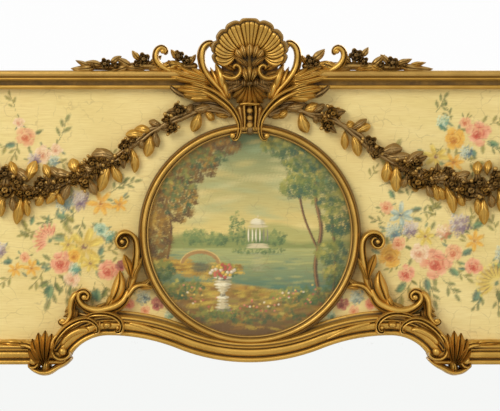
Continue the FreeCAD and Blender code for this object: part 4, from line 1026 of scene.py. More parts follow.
# The colours of a flower, from its deepest to its palest, and of a leaf, dark and light.
SALMON = tints((196, 84, 42), (226, 142, 92), (246, 204, 150))
CORAL = tints((186, 56, 34), (222, 116, 82), (246, 190, 148))
AMBER = tints((176, 96, 18), (222, 150, 40), (241, 194, 78))
BLUSH = tints((204, 124, 84), (232, 182, 136), (248, 224, 184))
LEMON = tints((118, 70, 66), (198, 158, 54), (240, 216, 104))
LILAC = tints((92, 62, 98), (148, 126, 138), (220, 206, 190))
AZURE = tints((60, 88, 104), (120, 150, 142), (212, 220, 190))
FOAM = tints((58, 112, 98), (124, 172, 142), (222, 230, 186))
PLUM = tints((104, 34, 40), (150, 66, 62), (208, 128, 104))
GREENS = (tints((76, 92, 44), (146, 152, 78)), tints((68, 108, 78), (142, 168, 112)),
    tints((112, 108, 40), (178, 168, 78)), tints((62, 98, 80), (126, 156, 116)))

# Painted flowers: kind, x, z, radius, colours. Those of the spandrels are painted on both sides.
LEFT_PAINT = (("rose", -382, 1608, 18, SALMON), ("rose", -394, 1632, 10, BLUSH),
    ("rose", -352, 1578, 16, BLUSH), ("cluster", -368, 1568, 12, LILAC),
    ("rose", -330, 1586, 11, BLUSH), ("cluster", -334, 1566, 10, AZURE),
    ("cluster", -290, 1500, 17, LILAC), ("cluster", -316, 1496, 16, AZURE),
    ("star", -254, 1494, 24, AMBER), ("star", -222, 1492, 15, AMBER), ("rose", -254, 1450, 13, FOAM),
    ("cluster", -240, 1438, 11, FOAM), ("tulip", -352, 1436, 27, CORAL),
    ("star", -282, 1420, 36, LEMON), ("star", -310, 1424, 17, LEMON), ("rose", -322, 1393, 21, CORAL),
    ("rose", -300, 1404, 12, AMBER), ("star", -272, 1392, 19, LEMON), ("rose", -303, 1366, 15, BLUSH),
    ("rose", -242, 1380, 20, CORAL), ("rose", -219, 1388, 11, PLUM), ("cluster", -299, 1383, 11, FOAM),
    ("star", -372, 1384, 17, AMBER), ("star", -400, 1382, 15, AMBER), ("rose", -384, 1402, 10, SALMON),
    ("cluster", -430, 1414, 15, LILAC), ("rose", -452, 1386, 20, BLUSH),
    ("star", -486, 1412, 22, AMBER), ("rose", -522, 1380, 18, CORAL),
    ("cluster", -498, 1362, 14, AZURE), ("rose", -552, 1406, 14, SALMON),
    ("star", -466, 1450, 19, LEMON), ("rose", -566, 1596, 16, SALMON), ("rose", -594, 1578, 11, AMBER),
    ("cluster", -540, 1574, 13, LILAC), ("rose", -600, 1318, 15, BLUSH),
    ("star", -624, 1338, 15, AMBER))
RIGHT_PAINT = (("rose", 350, 1604, 20, AMBER), ("rose", 390, 1614, 22, CORAL),
    ("rose", 368, 1632, 11, SALMON), ("cluster", 330, 1634, 12, FOAM), ("star", 318, 1574, 24, LEMON),
    ("star", 348, 1564, 18, AMBER), ("cluster", 370, 1582, 12, AZURE), ("star", 258, 1474, 23, AZURE),
    ("rose", 234, 1488, 12, SALMON), ("cluster", 246, 1446, 16, AZURE),
    ("cluster", 274, 1450, 14, LILAC), ("rose", 240, 1404, 21, AMBER), ("rose", 254, 1426, 13, SALMON),
    ("rose", 318, 1392, 27, CORAL), ("rose", 290, 1410, 18, BLUSH), ("rose", 348, 1410, 16, SALMON),
    ("cluster", 357, 1458, 19, LILAC), ("cluster", 330, 1446, 14, BLUSH),
    ("star", 300, 1438, 18, LEMON), ("tulip", 408, 1364, 32, LEMON), ("rose", 382, 1386, 16, CORAL),
    ("star", 384, 1430, 19, AMBER), ("rose", 268, 1374, 16, CORAL), ("cluster", 432, 1408, 15, AZURE),
    ("rose", 462, 1384, 22, SALMON), ("rose", 498, 1404, 16, BLUSH), ("star", 530, 1380, 20, AMBER),
    ("cluster", 512, 1354, 14, LILAC), ("rose", 558, 1398, 14, CORAL), ("star", 470, 1440, 17, LEMON),
    ("rose", 560, 1594, 15, CORAL), ("cluster", 590, 1580, 12, AZURE), ("star", 534, 1580, 14, AMBER),
    ("rose", 604, 1318, 15, AMBER), ("rose", 626, 1336, 12, SALMON))
SPANDREL_PAINT = (("cluster", 182, 1334, 13, AZURE), ("rose", 158, 1322, 12, PLUM),
    ("rose", 206, 1322, 11, CORAL), ("cluster", 138, 1303, 9, FOAM), ("rose", 178, 1312, 9, SALMON))
# Broad leaves between the flowers: x, z, length, degrees, green.
BROAD_LEAVES = ((-318, 1388, 28, -20, 3), (-300, 1394, 24, -62, 1), (-278, 1346, 32, -42, 3),
    (-262, 1352, 30, -80, 1), (-244, 1352, 24, -110, 0), (-340, 1364, 26, 214, 0),
    (-340, 1362, 38, 262, 1), (-334, 1360, 22, 300, 0), (-334, 1474, 26, -12, 1),
    (-316, 1472, 22, -30, 2), (-270, 1462, 26, -40, 1), (-256, 1440, 24, -20, 3),
    (-390, 1468, 22, -60, 2), (-368, 1474, 20, -110, 1), (-366, 1400, 16, -60, 1),
    (-424, 1392, 22, 10, 3), (-250, 1424, 24, 250, 3), (-372, 1606, 22, 120, 1),
    (-360, 1560, 20, 240, 1), (-396, 1596, 24, 190, 3), (-466, 1404, 24, 60, 1),
    (-508, 1398, 28, 110, 3), (-540, 1384, 24, 200, 0), (-478, 1366, 24, 250, 1),
    (268, 1362, 30, 230, 1), (300, 1370, 30, 280, 3), (338, 1386, 28, -40, 1), (360, 1404, 26, 30, 3),
    (222, 1392, 24, 200, 1), (262, 1436, 22, 60, 3), (346, 1444, 26, 200, 0), (376, 1452, 28, 20, 1),
    (412, 1392, 30, -30, 1), (392, 1352, 30, 250, 3), (420, 1350, 34, -60, 0), (340, 1618, 24, 150, 1),
    (378, 1590, 22, -70, 3), (404, 1600, 26, -20, 1), (322, 1550, 26, 240, 1), (484, 1372, 26, -60, 1),
    (520, 1394, 26, 60, 3), (548, 1376, 24, -40, 1), (248, 1500, 22, 120, 1), (190, 1340, 20, 60, 3),
    (-196, 1336, 20, 110, 1), (-150, 1330, 18, 40, 3), (160, 1332, 18, 130, 1))

# Sprigs: x, z, degrees, length of the leaf spray.
SPRIGS = ((-400, 1652, 110, 26), (-408, 1598, 205, 30), (-396, 1596, 250, 22), (-340, 1560, 290, 26),
    (-326, 1600, 70, 34), (-366, 1560, 230, 24), (-330, 1568, 335, 24), (-350, 1520, 280, 18),
    (-244, 1560, 60, 22), (-222, 1522, 20, 26), (-238, 1512, 40, 30), (-330, 1470, 200, 26),
    (-284, 1470, 250, 28), (-296, 1480, 215, 24), (-242, 1452, 300, 26), (-246, 1440, 330, 22),
    (-250, 1412, 10, 28), (-360, 1450, 200, 26), (-352, 1380, 235, 30), (-330, 1372, 255, 42),
    (-322, 1372, 285, 38), (-312, 1366, 300, 28), (-264, 1360, 250, 34), (-252, 1358, 290, 30),
    (-286, 1356, 230, 28), (-404, 1374, 220, 26), (-416, 1414, 175, 26), (-470, 1374, 250, 32),
    (-484, 1384, 285, 28), (-536, 1368, 300, 28), (-560, 1388, 340, 26), (-506, 1430, 70, 34),
    (-456, 1470, 100, 28), (-580, 1612, 120, 26), (-556, 1572, 260, 22), (-604, 1566, 300, 20),
    (-586, 1324, 170, 22), (-614, 1304, 280, 22), (-636, 1348, 40, 22), (-430, 1446, 120, 26),
    (318, 1650, 60, 26), (344, 1636, 110, 24), (408, 1628, 20, 26), (404, 1596, 330, 24),
    (330, 1592, 220, 20), (364, 1572, 330, 30), (376, 1560, 300, 24), (300, 1560, 200, 26),
    (232, 1540, 70, 46), (222, 1524, 20, 34), (240, 1510, 30, 24), (270, 1500, 70, 26),
    (290, 1476, 20, 26), (232, 1460, 160, 20), (300, 1462, 60, 26), (316, 1470, 90, 30),
    (278, 1362, 230, 40), (290, 1364, 265, 40), (304, 1360, 290, 32), (330, 1364, 310, 30),
    (348, 1380, 330, 26), (366, 1444, 30, 30), (376, 1470, 60, 26), (258, 1390, 200, 20),
    (420, 1340, 280, 28), (398, 1342, 240, 26), (440, 1360, 320, 30), (476, 1362, 290, 30),
    (540, 1362, 310, 26), (574, 1392, 350, 26), (484, 1456, 80, 32), (420, 1440, 100, 26),
    (546, 1610, 60, 26), (574, 1572, 280, 22), (610, 1566, 330, 20), (588, 1310, 200, 22),
    (618, 1300, 290, 20), (640, 1344, 60, 22), (204, 1536, 60, 22), (216, 1480, 350, 18))


def plant(painting, flower, side=1):
    """Paint one flower from its row."""
    kind, x, z, radius, (deep, mid, pale) = flower
    x *= side
    if kind == "rose":
        painting.rose(x, z, radius, deep, mid, pale)
    elif kind == "star":
        painting.star(x, z, radius, 6, pale, mid, deep, spin=radius * 17 % 60, fat=0.24)
    elif kind == "tulip":
        # A carnation from the side: frilled petals fanned from a green cup.
        bx, bz = x + radius * 0.42, z - radius * 0.2
        for turn in range(74, 236, 18):
            angle = math.radians(turn)
            reach = radius * (0.86 + 0.2 * math.sin(turn * 0.7))
            px, pz = bx + math.cos(angle) * reach * 0.6, bz + math.sin(angle) * reach * 0.6
            painting.stroke(px, pz, reach * 0.46, radius * 0.15, turn, mid, 0.8, 0.5, 0.12, shade=pale)
            painting.stroke(px + math.sin(angle) * radius * 0.08, pz - math.cos(angle) * radius * 0.08,
                reach * 0.4, radius * 0.05, turn, deep, 0.6, 0.8)
            painting.stroke(bx + math.cos(angle) * reach, bz + math.sin(angle) * reach, radius * 0.08,
                radius * 0.15, turn, pale, 0.8, 0.7)
        painting.stroke(bx, bz, radius * 0.2, radius * 0.15, 60, GREENS[1][0], 0.8, 0.6)
    else:
        painting.cluster(x, z, radius, 17, pale, mid, deep)


def ground_colours(x, z):
    """The painted boards: cream brushed over, with scattered sprays of flowers."""
    painting = Painting(x, z, colour("ground")[:3], 31)
    rng = np.random.default_rng(5)
    cloud = (np.sin(x * 0.011 + 1.3) * np.sin(z * 0.023 + 0.4) + 0.6 * np.sin(x * 0.031 + z * 0.012)
        + 0.5 * np.sin(z * 0.19 + np.sin(x * 0.02) * 2) * np.sin(x * 0.008 + 2))
    painting.rgb *= 1 + cloud[:, None] * np.array([0.028, 0.034, 0.07])
    for flower in (*LEFT_PAINT, *RIGHT_PAINT):
        # A thin warm shadow and loose leaves behind each flower tie the sprays together.
        _, fx, fz, radius, _ = flower
        painting.stroke(fx + 3, fz - 4, radius * 1.7, radius * 1.4, 20, linear(198, 172, 96), 0.30, 0.9)
        for _ in range(3):
            turn = rng.uniform(0, 360)
            dark, light = GREENS[rng.integers(4)]
            reach = radius * 0.75
            painting.leaf(fx + math.cos(math.radians(turn)) * reach,
                fz + math.sin(math.radians(turn)) * reach, radius * rng.uniform(0.7, 1.1),
                turn + rng.uniform(-30, 30), dark, light, 0.6)
    for sx, sz, degrees, length in SPRIGS:
        dark, light = GREENS[int(abs(sx) + length) % 4]
        angle = math.radians(degrees)
        ex, ez = sx + math.cos(angle) * length, sz + math.sin(angle) * length
        painting.line([(sx, sz), ((sx + ex) / 2 + 2, (sz + ez) / 2), (ex, ez)], 1.1, dark, 0.55)
        for share, lean in ((0.25, 42), (0.45, -40), (0.7, 34), (0.95, -6)):
            painting.leaf(sx + (ex - sx) * share, sz + (ez - sz) * share,
                length * rng.uniform(0.5, 0.75), degrees + lean, dark, light, 0.6)
    for lx, lz, length, degrees, green in BROAD_LEAVES:
        dark, light = GREENS[green]
        painting.leaf(lx, lz, length, degrees, dark, light, 0.85, 0.56)
    for flower in (*LEFT_PAINT, *RIGHT_PAINT):
        plant(painting, flower)
    for flower in SPANDREL_PAINT:
        plant(painting, flower)
        plant(painting, flower, -1)
    return painting.rgb


def landscape(x, z):
    """The round picture: trees by a lake, hills, a domed summerhouse, a bridge and an urn."""
    art = Painting(x, z, linear(206, 206, 158), 12)
    rng = np.random.default_rng(44)
    up = (z - RING_Z)
    sky = np.clip((up + 20) / 180, 0, 1)[:, None]
    art.rgb = linear(236, 208, 124) * (1 - sky) + linear(112, 132, 88) * sky
    for _ in range(64):
        tint = tints((240, 220, 152), (160, 176, 128), (222, 192, 112))[rng.integers(3)]
        art.stroke(rng.uniform(-150, 150), RING_Z + rng.uniform(10, 165), rng.uniform(24, 60),
            rng.uniform(6, 14), rng.uniform(-14, 14), tint, 0.35, 0.9)
    for hill, (tint, level) in enumerate(((linear(170, 168, 96), 4), (linear(126, 138, 74), -6))):
        crest = level + 10 * np.sin(x * 0.021 + hill * 2) + 6 * np.sin(x * 0.05 + hill)
        cover = np.clip((RING_Z + crest + 6 - z) / 8, 0, 1)[:, None] * 0.8
        art.rgb += cover * (tint - art.rgb)
    lake = np.clip((RING_Z - 22 - z) / 3, 0, 1)[:, None]
    depth = np.clip((RING_Z - 22 - z) / 70, 0, 1)[:, None]
    art.rgb += lake * (linear(176, 176, 108) * (1 - depth) + linear(86, 118, 92) * depth - art.rgb)
    for _ in range(120):
        level = rng.uniform(24, 96)
        tint = tints((200, 190, 112), (92, 128, 104), (146, 152, 92))[rng.integers(3)]
        art.stroke(rng.uniform(-140, 140), RING_Z - level, rng.uniform(10, 30), 1.5 + level / 40, 0,
            tint, 0.4, 0.8)

    def foliage(cx, cz, across, high, count, shades, size):
        """A loose crown of dabs, the lightest at its upper left."""
        for _ in range(count):
            turn, reach = rng.uniform(0, 6.283), math.sqrt(rng.uniform(0, 1))
            px, pz = cx + math.cos(turn) * reach * across, cz + math.sin(turn) * reach * high
            light = 0.55 * (pz - cz) / high - 0.45 * (px - cx) / across + rng.normal() * 0.42
            tint = shades[int(np.clip(1.5 + light * 1.7, 0, len(shades) - 1))]
            long = size * rng.uniform(0.6, 1.25)
            art.stroke(px, pz, long, long * 0.62, rng.uniform(0, 180), tint, 0.62, 0.6, 0.3)

    far = tints((84, 106, 62), (112, 132, 74), (146, 152, 84), (184, 178, 98))
    near = tints((42, 58, 34), (66, 92, 54), (98, 116, 56), (150, 148, 66), (206, 190, 92))
    warm = tints((92, 66, 24), (136, 100, 34), (180, 136, 46), (212, 174, 70), (232, 202, 100))
    soil = tints((120, 84, 36), (158, 116, 48), (194, 152, 62), (112, 100, 40), (148, 132, 52),
        (212, 184, 74))
    meadow = tints((222, 140, 108), (240, 226, 190), (232, 196, 96), (196, 96, 80))
    posy = tints((214, 116, 88), (244, 226, 190), (236, 190, 84), (190, 80, 66))
    for cx, cz, across, high in ((-92, 4, 26, 13), (-58, 0, 20, 10), (10, -2, 22, 9), (44, 2, 18, 12)):
        foliage(cx, RING_Z + cz - 8, across, high, 70, far, 6)
    for px, tall in ((-30, 52), (-21, 60), (-12, 46)):
        foliage(px, RING_Z - 18 + tall / 2, 4.6, tall / 2, 60, far[:3], 3.4)

    # The summerhouse: steps, drum of columns, entablature and dome on its island.
    stone, lit, dim = tints((214, 198, 152), (242, 230, 190), (140, 132, 104))
    foliage(14, RING_Z - 27, 46, 6, 90, far[:3], 4)
    for step in range(3):
        art.stroke(14, RING_Z - 22 + step * 2.6, 24 - step * 2, 1.8, 0, stone, 0.95, 0.3, 0)
    for column in range(6):
        px = 14 + (column - 2.5) * 6.4
        art.stroke(px, RING_Z - 1, 14, 1.5, 90, lit if column < 4 else dim, 0.95, 0.4, 0)
        art.stroke(px + 1.5, RING_Z - 1, 14, 0.7, 90, dim, 0.7, 0.6, 0)
    art.stroke(14, RING_Z + 14, 20, 2.6, 0, stone, 0.95, 0.3, 0)
    art.stroke(14, RING_Z + 17, 18, 1.0, 0, dim, 0.6, 0.5, 0)
    for share in np.linspace(0, 1, 9):
        art.stroke(14 - 3 * share, RING_Z + 18 + 9 * share, 15.5 * math.sqrt(1 - share ** 2 * 0.94),
            1.6, 0, lit * (0.86 + 0.14 * share), 0.8, 0.4, 0)
    art.stroke(22, RING_Z + 22, 6, 7, 0, dim, 0.4, 0.9, 0)
    art.stroke(14, RING_Z + 31, 1.1, 3, 0, stone, 0.9, 0.4, 0)
    for share in np.linspace(0, 1, 14):
        art.stroke(14 + rng.normal() * 2, RING_Z - 32 - 30 * share, 15, 1.2, 0, stone, 0.32, 0.8)

    # Banks, the arched bridge and the near shore.
    shore = RING_Z - 84 - 10 * np.sin(x * 0.018) - np.abs(x - 20) * 0.04
    low = np.clip((shore - z) / 70, 0, 1)[:, None]
    bank = np.clip((shore - z) / 5, 0, 1)[:, None] * 0.9
    art.rgb += bank * (linear(178, 146, 74) * (1 - low) + linear(122, 88, 40) * low - art.rgb)
    for _ in range(240):
        px = rng.uniform(-168, -40)
        pz = RING_Z - 46 - (px + 168) * 0.17 + rng.normal() * 6
        art.stroke(px, pz, rng.uniform(8, 20), rng.uniform(2, 5), rng.uniform(-12, 6),
            warm[rng.integers(1, 4)], 0.6, 0.7, 0.25)
    for _ in range(70):
        art.stroke(rng.uniform(-62, -16), RING_Z - 58 + rng.normal() * 4, rng.uniform(7, 14), 2.6, 0,
            warm[rng.integers(1, 4)], 0.7, 0.6, 0.2)
    brick, edge = tints((172, 132, 74), (216, 182, 108))
    for turn in np.linspace(14, 166, 34):
        angle = math.radians(turn)
        bx, bz = -84 + math.cos(angle) * 31, RING_Z - 52 + math.sin(angle) * 22
        art.stroke(bx, bz, 4.6, 3.4, turn + 90, brick, 0.9, 0.4, 0.2)
        art.stroke(bx + math.cos(angle) * 3.4, bz + math.sin(angle) * 3.6, 3.8, 1.2, turn + 90, edge,
            0.85, 0.5, 0.1)
    art.stroke(-84, RING_Z - 56, 21, 13, 0, linear(66, 88, 72), 0.7, 0.6, 0.1)
    for _ in range(420):
        px = rng.uniform(-170, 172)
        shore = -88 - 10 * math.sin(px * 0.018) - abs(px - 20) * 0.04
        pz = RING_Z + shore - abs(rng.normal()) * 34
        art.stroke(px, pz, rng.uniform(8, 22), rng.uniform(3, 6), rng.uniform(-16, 16),
            soil[rng.integers(6)], 0.6, 0.7, 0.25)
    # Trunks, then crowns: green on the right, turning brown on the left.
    for points, width in (([(118, 1338), (112, 1390), (122, 1450), (112, 1510), (120, 1570)], 5.5),
            ([(114, 1420), (94, 1468), (84, 1512)], 3.2), ([(142, 1336), (146, 1400), (140, 1470)],
            4.2), ([(-140, 1400), (-134, 1450), (-142, 1500)], 3.4)):
        art.line(points, width, linear(84, 58, 34), 0.9)
        art.line([(x - 1.4, z) for x, z in points], width * 0.35, linear(160, 118, 68), 0.7)
    for cx, cz, across, high, count in ((128, 1530, 46, 42, 420), (96, 1576, 44, 30, 300),
            (150, 1476, 26, 40, 240), (78, 1524, 26, 18, 150), (60, 1590, 40, 16, 160),
            (140, 1410, 26, 22, 120)):
        foliage(cx, cz, across, high, count * 2 // 3, (linear(64, 94, 66), *near[2:]), 8)
    foliage(118, 1556, 60, 34, 130, (linear(112, 142, 96), *near[2:]), 5)
    for cx, cz, across, high, count in ((-132, 1500, 42, 40, 330), (-104, 1560, 52, 30, 330),
            (-156, 1440, 22, 40, 180), (-62, 1592, 46, 16, 170)):
        foliage(cx, cz, across, high, count, warm, 8)
    foliage(-128, 1520, 36, 46, 110, near[1:], 7)
    foliage(-84, 1572, 50, 18, 70, near[1:4], 6)
    for cx, cz, across, high in ((-120, 1348, 44, 16), (96, 1336, 60, 15), (0, 1304, 110, 14),
            (150, 1370, 24, 20), (-150, 1380, 22, 18)):
        foliage(cx, cz, across, high, 130, near[1:], 6)
    for _ in range(60):
        px = rng.uniform(-120, 120)
        pz = 1300 + abs(px) * 0.24 + rng.uniform(0, 30)
        art.stroke(px, pz, 2.6, 2.2, 0, meadow[rng.integers(4)], 0.8, 0.5, 0.1)
    # A garden urn full of flowers on the near shore.
    ux, uz = -46, 1346
    for rise, half, tint in ((-34, 17, dim), (-29, 15, stone), (-24, 12, stone), (-18, 11, stone),
            (-12, 12, lit), (-8, 6, dim), (-4, 5, stone), (0, 10, stone), (5, 15, stone), (10, 17, lit),
            (15, 16, stone), (19, 13, dim), (22, 17, lit)):
        art.stroke(ux, uz + rise, half, 3.2, 0, tint, 0.95, 0.25, 0)
        art.stroke(ux + half * 0.55, uz + rise, half * 0.45, 3, 0, dim * 0.7, 0.5, 0.7, 0)
        art.stroke(ux - half * 0.4, uz + rise, half * 0.22, 2.6, 0, lit, 0.5, 0.7, 0)
    foliage(ux, uz + 32, 26, 13, 80, near[1:], 5)
    for step in range(26):
        turn, reach, tint = step * GOLDEN_TURN, math.sqrt(step / 26), posy[step % 4]
        fx, fz = ux + math.cos(turn) * reach * 22, uz + 33 + math.sin(turn) * reach * 12
        art.stroke(fx, fz, 4.2, 3.6, 30, tint * 0.7, 0.8, 0.4, 0.1)
        art.stroke(fx - 0.7, fz + 0.8, 2.6, 2.2, 30, tint, 0.9, 0.5, 0.1)
    foliage(ux - 4, uz - 40, 34, 7, 60, near[1:], 5)
    rim = np.hypot(x, z - RING_Z)
    dusk = np.clip((rim - 116) / 62, 0, 1)[:, None] ** 1.4 * 0.5
    art.rgb *= 1 - dusk * np.array([0.62, 0.72, 0.88])
    return art.rgb


def sheet(columns, rows, place, low, high):
    """A closed board: a fine front, plain sides and back; place gives (x, z) of (u, v)."""
    u, v = np.meshgrid(np.linspace(0, 1, columns), np.linspace(0, 1, rows), indexing="ij")
    x, z = place(u, v)
    front = np.stack([x, np.full(x.shape, high), z], -1)
    index = np.arange(columns * rows).reshape(columns, rows)
    quads = np.stack([index[:-1, :-1], index[1:, :-1], index[1:, 1:], index[:-1, 1:]], -1)
    edge = np.concatenate([index[:-1, 0], index[-1, :-1], index[::-1, -1][:-1], index[0, ::-1][:-1]])
    verts = front.reshape(-1, 3)
    back = verts[edge] * (1, 0, 1)
    back[:, 1] = np.where(back[:, 2] > LIP, low, low + LIP_DEEP)
    start, count = columns * rows, len(edge)
    ring = np.arange(count)
    ahead = (ring + 1) % count
    sides = np.stack([edge, start + ring, start + ahead, edge[ahead]], -1)
    centre = back.mean(0)
    verts = np.concatenate([verts, back, centre[None]])
    fan = np.stack([start + ring, np.full(count, start + count), start + ahead], -1)
    return outward(verts, np.concatenate([quads.reshape(-1, 4), sides]), fan)


def paint_on(piece, colours):
    """Store paint for the front of a board; its other points take a bare brown."""
    mesh = piece.data
    rgba = np.tile(np.array([0.30, 0.19, 0.09, 1.0], np.float32), (len(mesh.vertices), 1))
    rgba[:len(colours), :3] = np.clip(colours, 0, 1)
    mesh.color_attributes.new("paint", "FLOAT_COLOR", "POINT").data.foreach_set("color", rgba.ravel())


class TRUMEAU_OT_boards(bpy.types.Operator):
    """Make the two painted boards and their flowers"""
    bl_idname = "trumeau.boards"
    bl_label = "Painted boards"

    def execute(self, context):
        for _, word in SIDES:
            node = f"ground_board_{word}"
            low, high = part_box(node)
            first, last, top = low.x / MM, high.x / MM, high.z / MM

            def place(u, v):
                x = first + (last - first) * u
                foot = sight_line(x, 6.0)
                return x, foot + (top - foot) * v

            verts, quads, tris = sheet(*PAINT_GRID, place, BOARD_BACK, BOARD)
            piece = mesh_object(f"painted_board_{word}", verts, quads, tris, "ground", nodes=[node],
                crease=30)
            face = verts[:PAINT_GRID[0] * PAINT_GRID[1]]
            paint_on(piece, ground_colours(face[:, 0], face[:, 2]))
        return {"FINISHED"}


class TRUMEAU_OT_medallion(bpy.types.Operator):
    """Make the round picture"""
    bl_idname = "trumeau.medallion"
    bl_label = "Round picture"

    def execute(self, context):
        radius = RIM - RING_BAND + 5.5

        def place(u, v):
            a, b = u * 2 - 1, v * 2 - 1
            x = a * np.sqrt(1 - b * b / 2) * radius
            z = RING_Z + b * np.sqrt(1 - a * a / 2) * radius
            return x, np.maximum(z, sight_line(x, APRON) + 0.01 * (b + 1))

        verts, quads, tris = sheet(*PICTURE_GRID, place, BOARD, BOARD + 6)
        piece = mesh_object("round_picture", verts, quads, tris, "picture", nodes=["medallion_board"],
            crease=30)
        face = verts[:PICTURE_GRID[0] * PICTURE_GRID[1]]
        paint_on(piece, landscape(face[:, 0], face[:, 2]))
        return {"FINISHED"}


# ---- what is carried over ---------------------------------------------------------

class TRUMEAU_OT_carcass(bpy.types.Operator):
    """Finish the rails, uprights, boards behind, pegs, plate and hangers of the frame"""
    bl_idname = "trumeau.carcass"
    bl_label = "Carcass and plate"

    def execute(self, context):
        metal = {"hanger_straps": "brass", "hanging_ring_left": "brass", "hanging_ring_right": "brass",
            "mirror_plate": "glass", "backboard_nails": "steel", "hanger_screws": "steel"}
        for name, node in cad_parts.items():
            node.data.materials.clear()
            wood = ("pine_rail" if name.endswith("rail") else "pine_pale" if name
                in ("backboard_2", "backboard_4", "stile_left") else "pine")
            node.data.materials.append(finishes[metal.get(name, wood)])
        return {"FINISHED"}


# ---- carving: the crest -----------------------------------------------------------

def raised(points, x=0.0, z=TOP):
    """Points given from the top of the frame, moved to their place."""
    return [(px + x, pz + z) for px, pz in points]


def shell_form():
    """The cockle shell: nine scalloped lobes of fine reeds, hollowed towards its heart."""
    bounds = (-111, -90, -67, -44, -17, 17, 44, 67, 90, 111)
    reeds = (2, 3, 3, 3, 4, 3, 3, 3, 2)
    turn, lobe, reed = [], [], []
    for first, last, count in zip(bounds, bounds[1:], reeds):
        share = np.linspace(0, 1, count * 9, endpoint=False)
        turn.append(first + (last - first) * share)
        lobe.append(share * 2 - 1)
        reed.append((share * count % 1) * 2 - 1)
    turn = np.radians(np.concatenate([*turn, bounds[-1:]]))
    lobe, reed = (np.abs(np.concatenate([*values, [1.0]])) for values in (lobe, reed))
    # Stations from heart to rim and back under it: share of the reach, distance out, relief.
    stations = np.array([(0.0, 56, 0.5), (0.06, 57.5, 0.8), (0.2, 60, 1), (0.4, 62.5, 1), (0.6, 66, 1),
        (0.72, 69, 1), (0.8, 71.2, 0.9), (0.86, 71.8, 0.6), (0.885, 71.4, 0.4), (0.905, 74.6, 0.3),
        (0.935, 78, 0.22), (0.975, 79, 0.2), (1.0, 78, 0.15), (1.02, 75, 0.1), (1.025, 70, 0),
        (1.01, 63, 0), (0.98, 56, 0), (0.95, 49, 0), (0.94, 46.2, 0)])
    share, out, relief = smooth(stations, 46).T
    heart = TOP + 24
    reach = (61.5 + 2.2 * np.cos(turn * 2 + np.pi) * 0.5 - 5 * np.clip(np.abs(turn) - 1.6, 0, 1) / 0.34)
    reach = reach * (1 - 0.075 * lobe ** 3.2) * 0.985
    side, up = np.sin(turn)[:, None], np.cos(turn)[:, None]
    x = side * 1.045 * (23 + (reach[:, None] - 23) * share)
    z = heart + up * (11 + (reach[:, None] - 11) * share)
    # Towards the sides the reeds leave the heart low and curl up to the rim.
    droop = np.clip(np.abs(turn) - 0.35, 0, 1.2)[:, None]
    z = z - 7.5 * droop * np.sin(np.pi * np.clip(share, 0, 1) ** 0.8)
    strength = sizes().relief
    round_reed = 2.1 * np.sqrt(np.clip(1 - reed ** 2, 0, 1)) - 1.0 * np.exp(-((1 - reed) / 0.16) ** 2)
    parting = 2.2 * np.exp(-((1 - lobe) / 0.09) ** 2)
    swelling = 2.4 * (1 - lobe ** 2)
    level = out + relief * strength * (round_reed - parting + swelling)[:, None]
    z = np.minimum(z, 1802.5)
    back = np.stack([side * 21, np.full(side.shape, 46.2), heart + up * 10], -1)
    rings = np.concatenate([np.stack([x, np.maximum(level, 46.1), z], -1), back], 1)
    rim = np.clip((share - 0.9) / 0.04, 0, 1) * (0.45 + 0.45 * np.abs(side))
    tone = np.concatenate([rim, np.full(side.shape, 0.7)], 1).ravel()
    return loft(rings), np.concatenate([tone, [0.7, 0.7]])


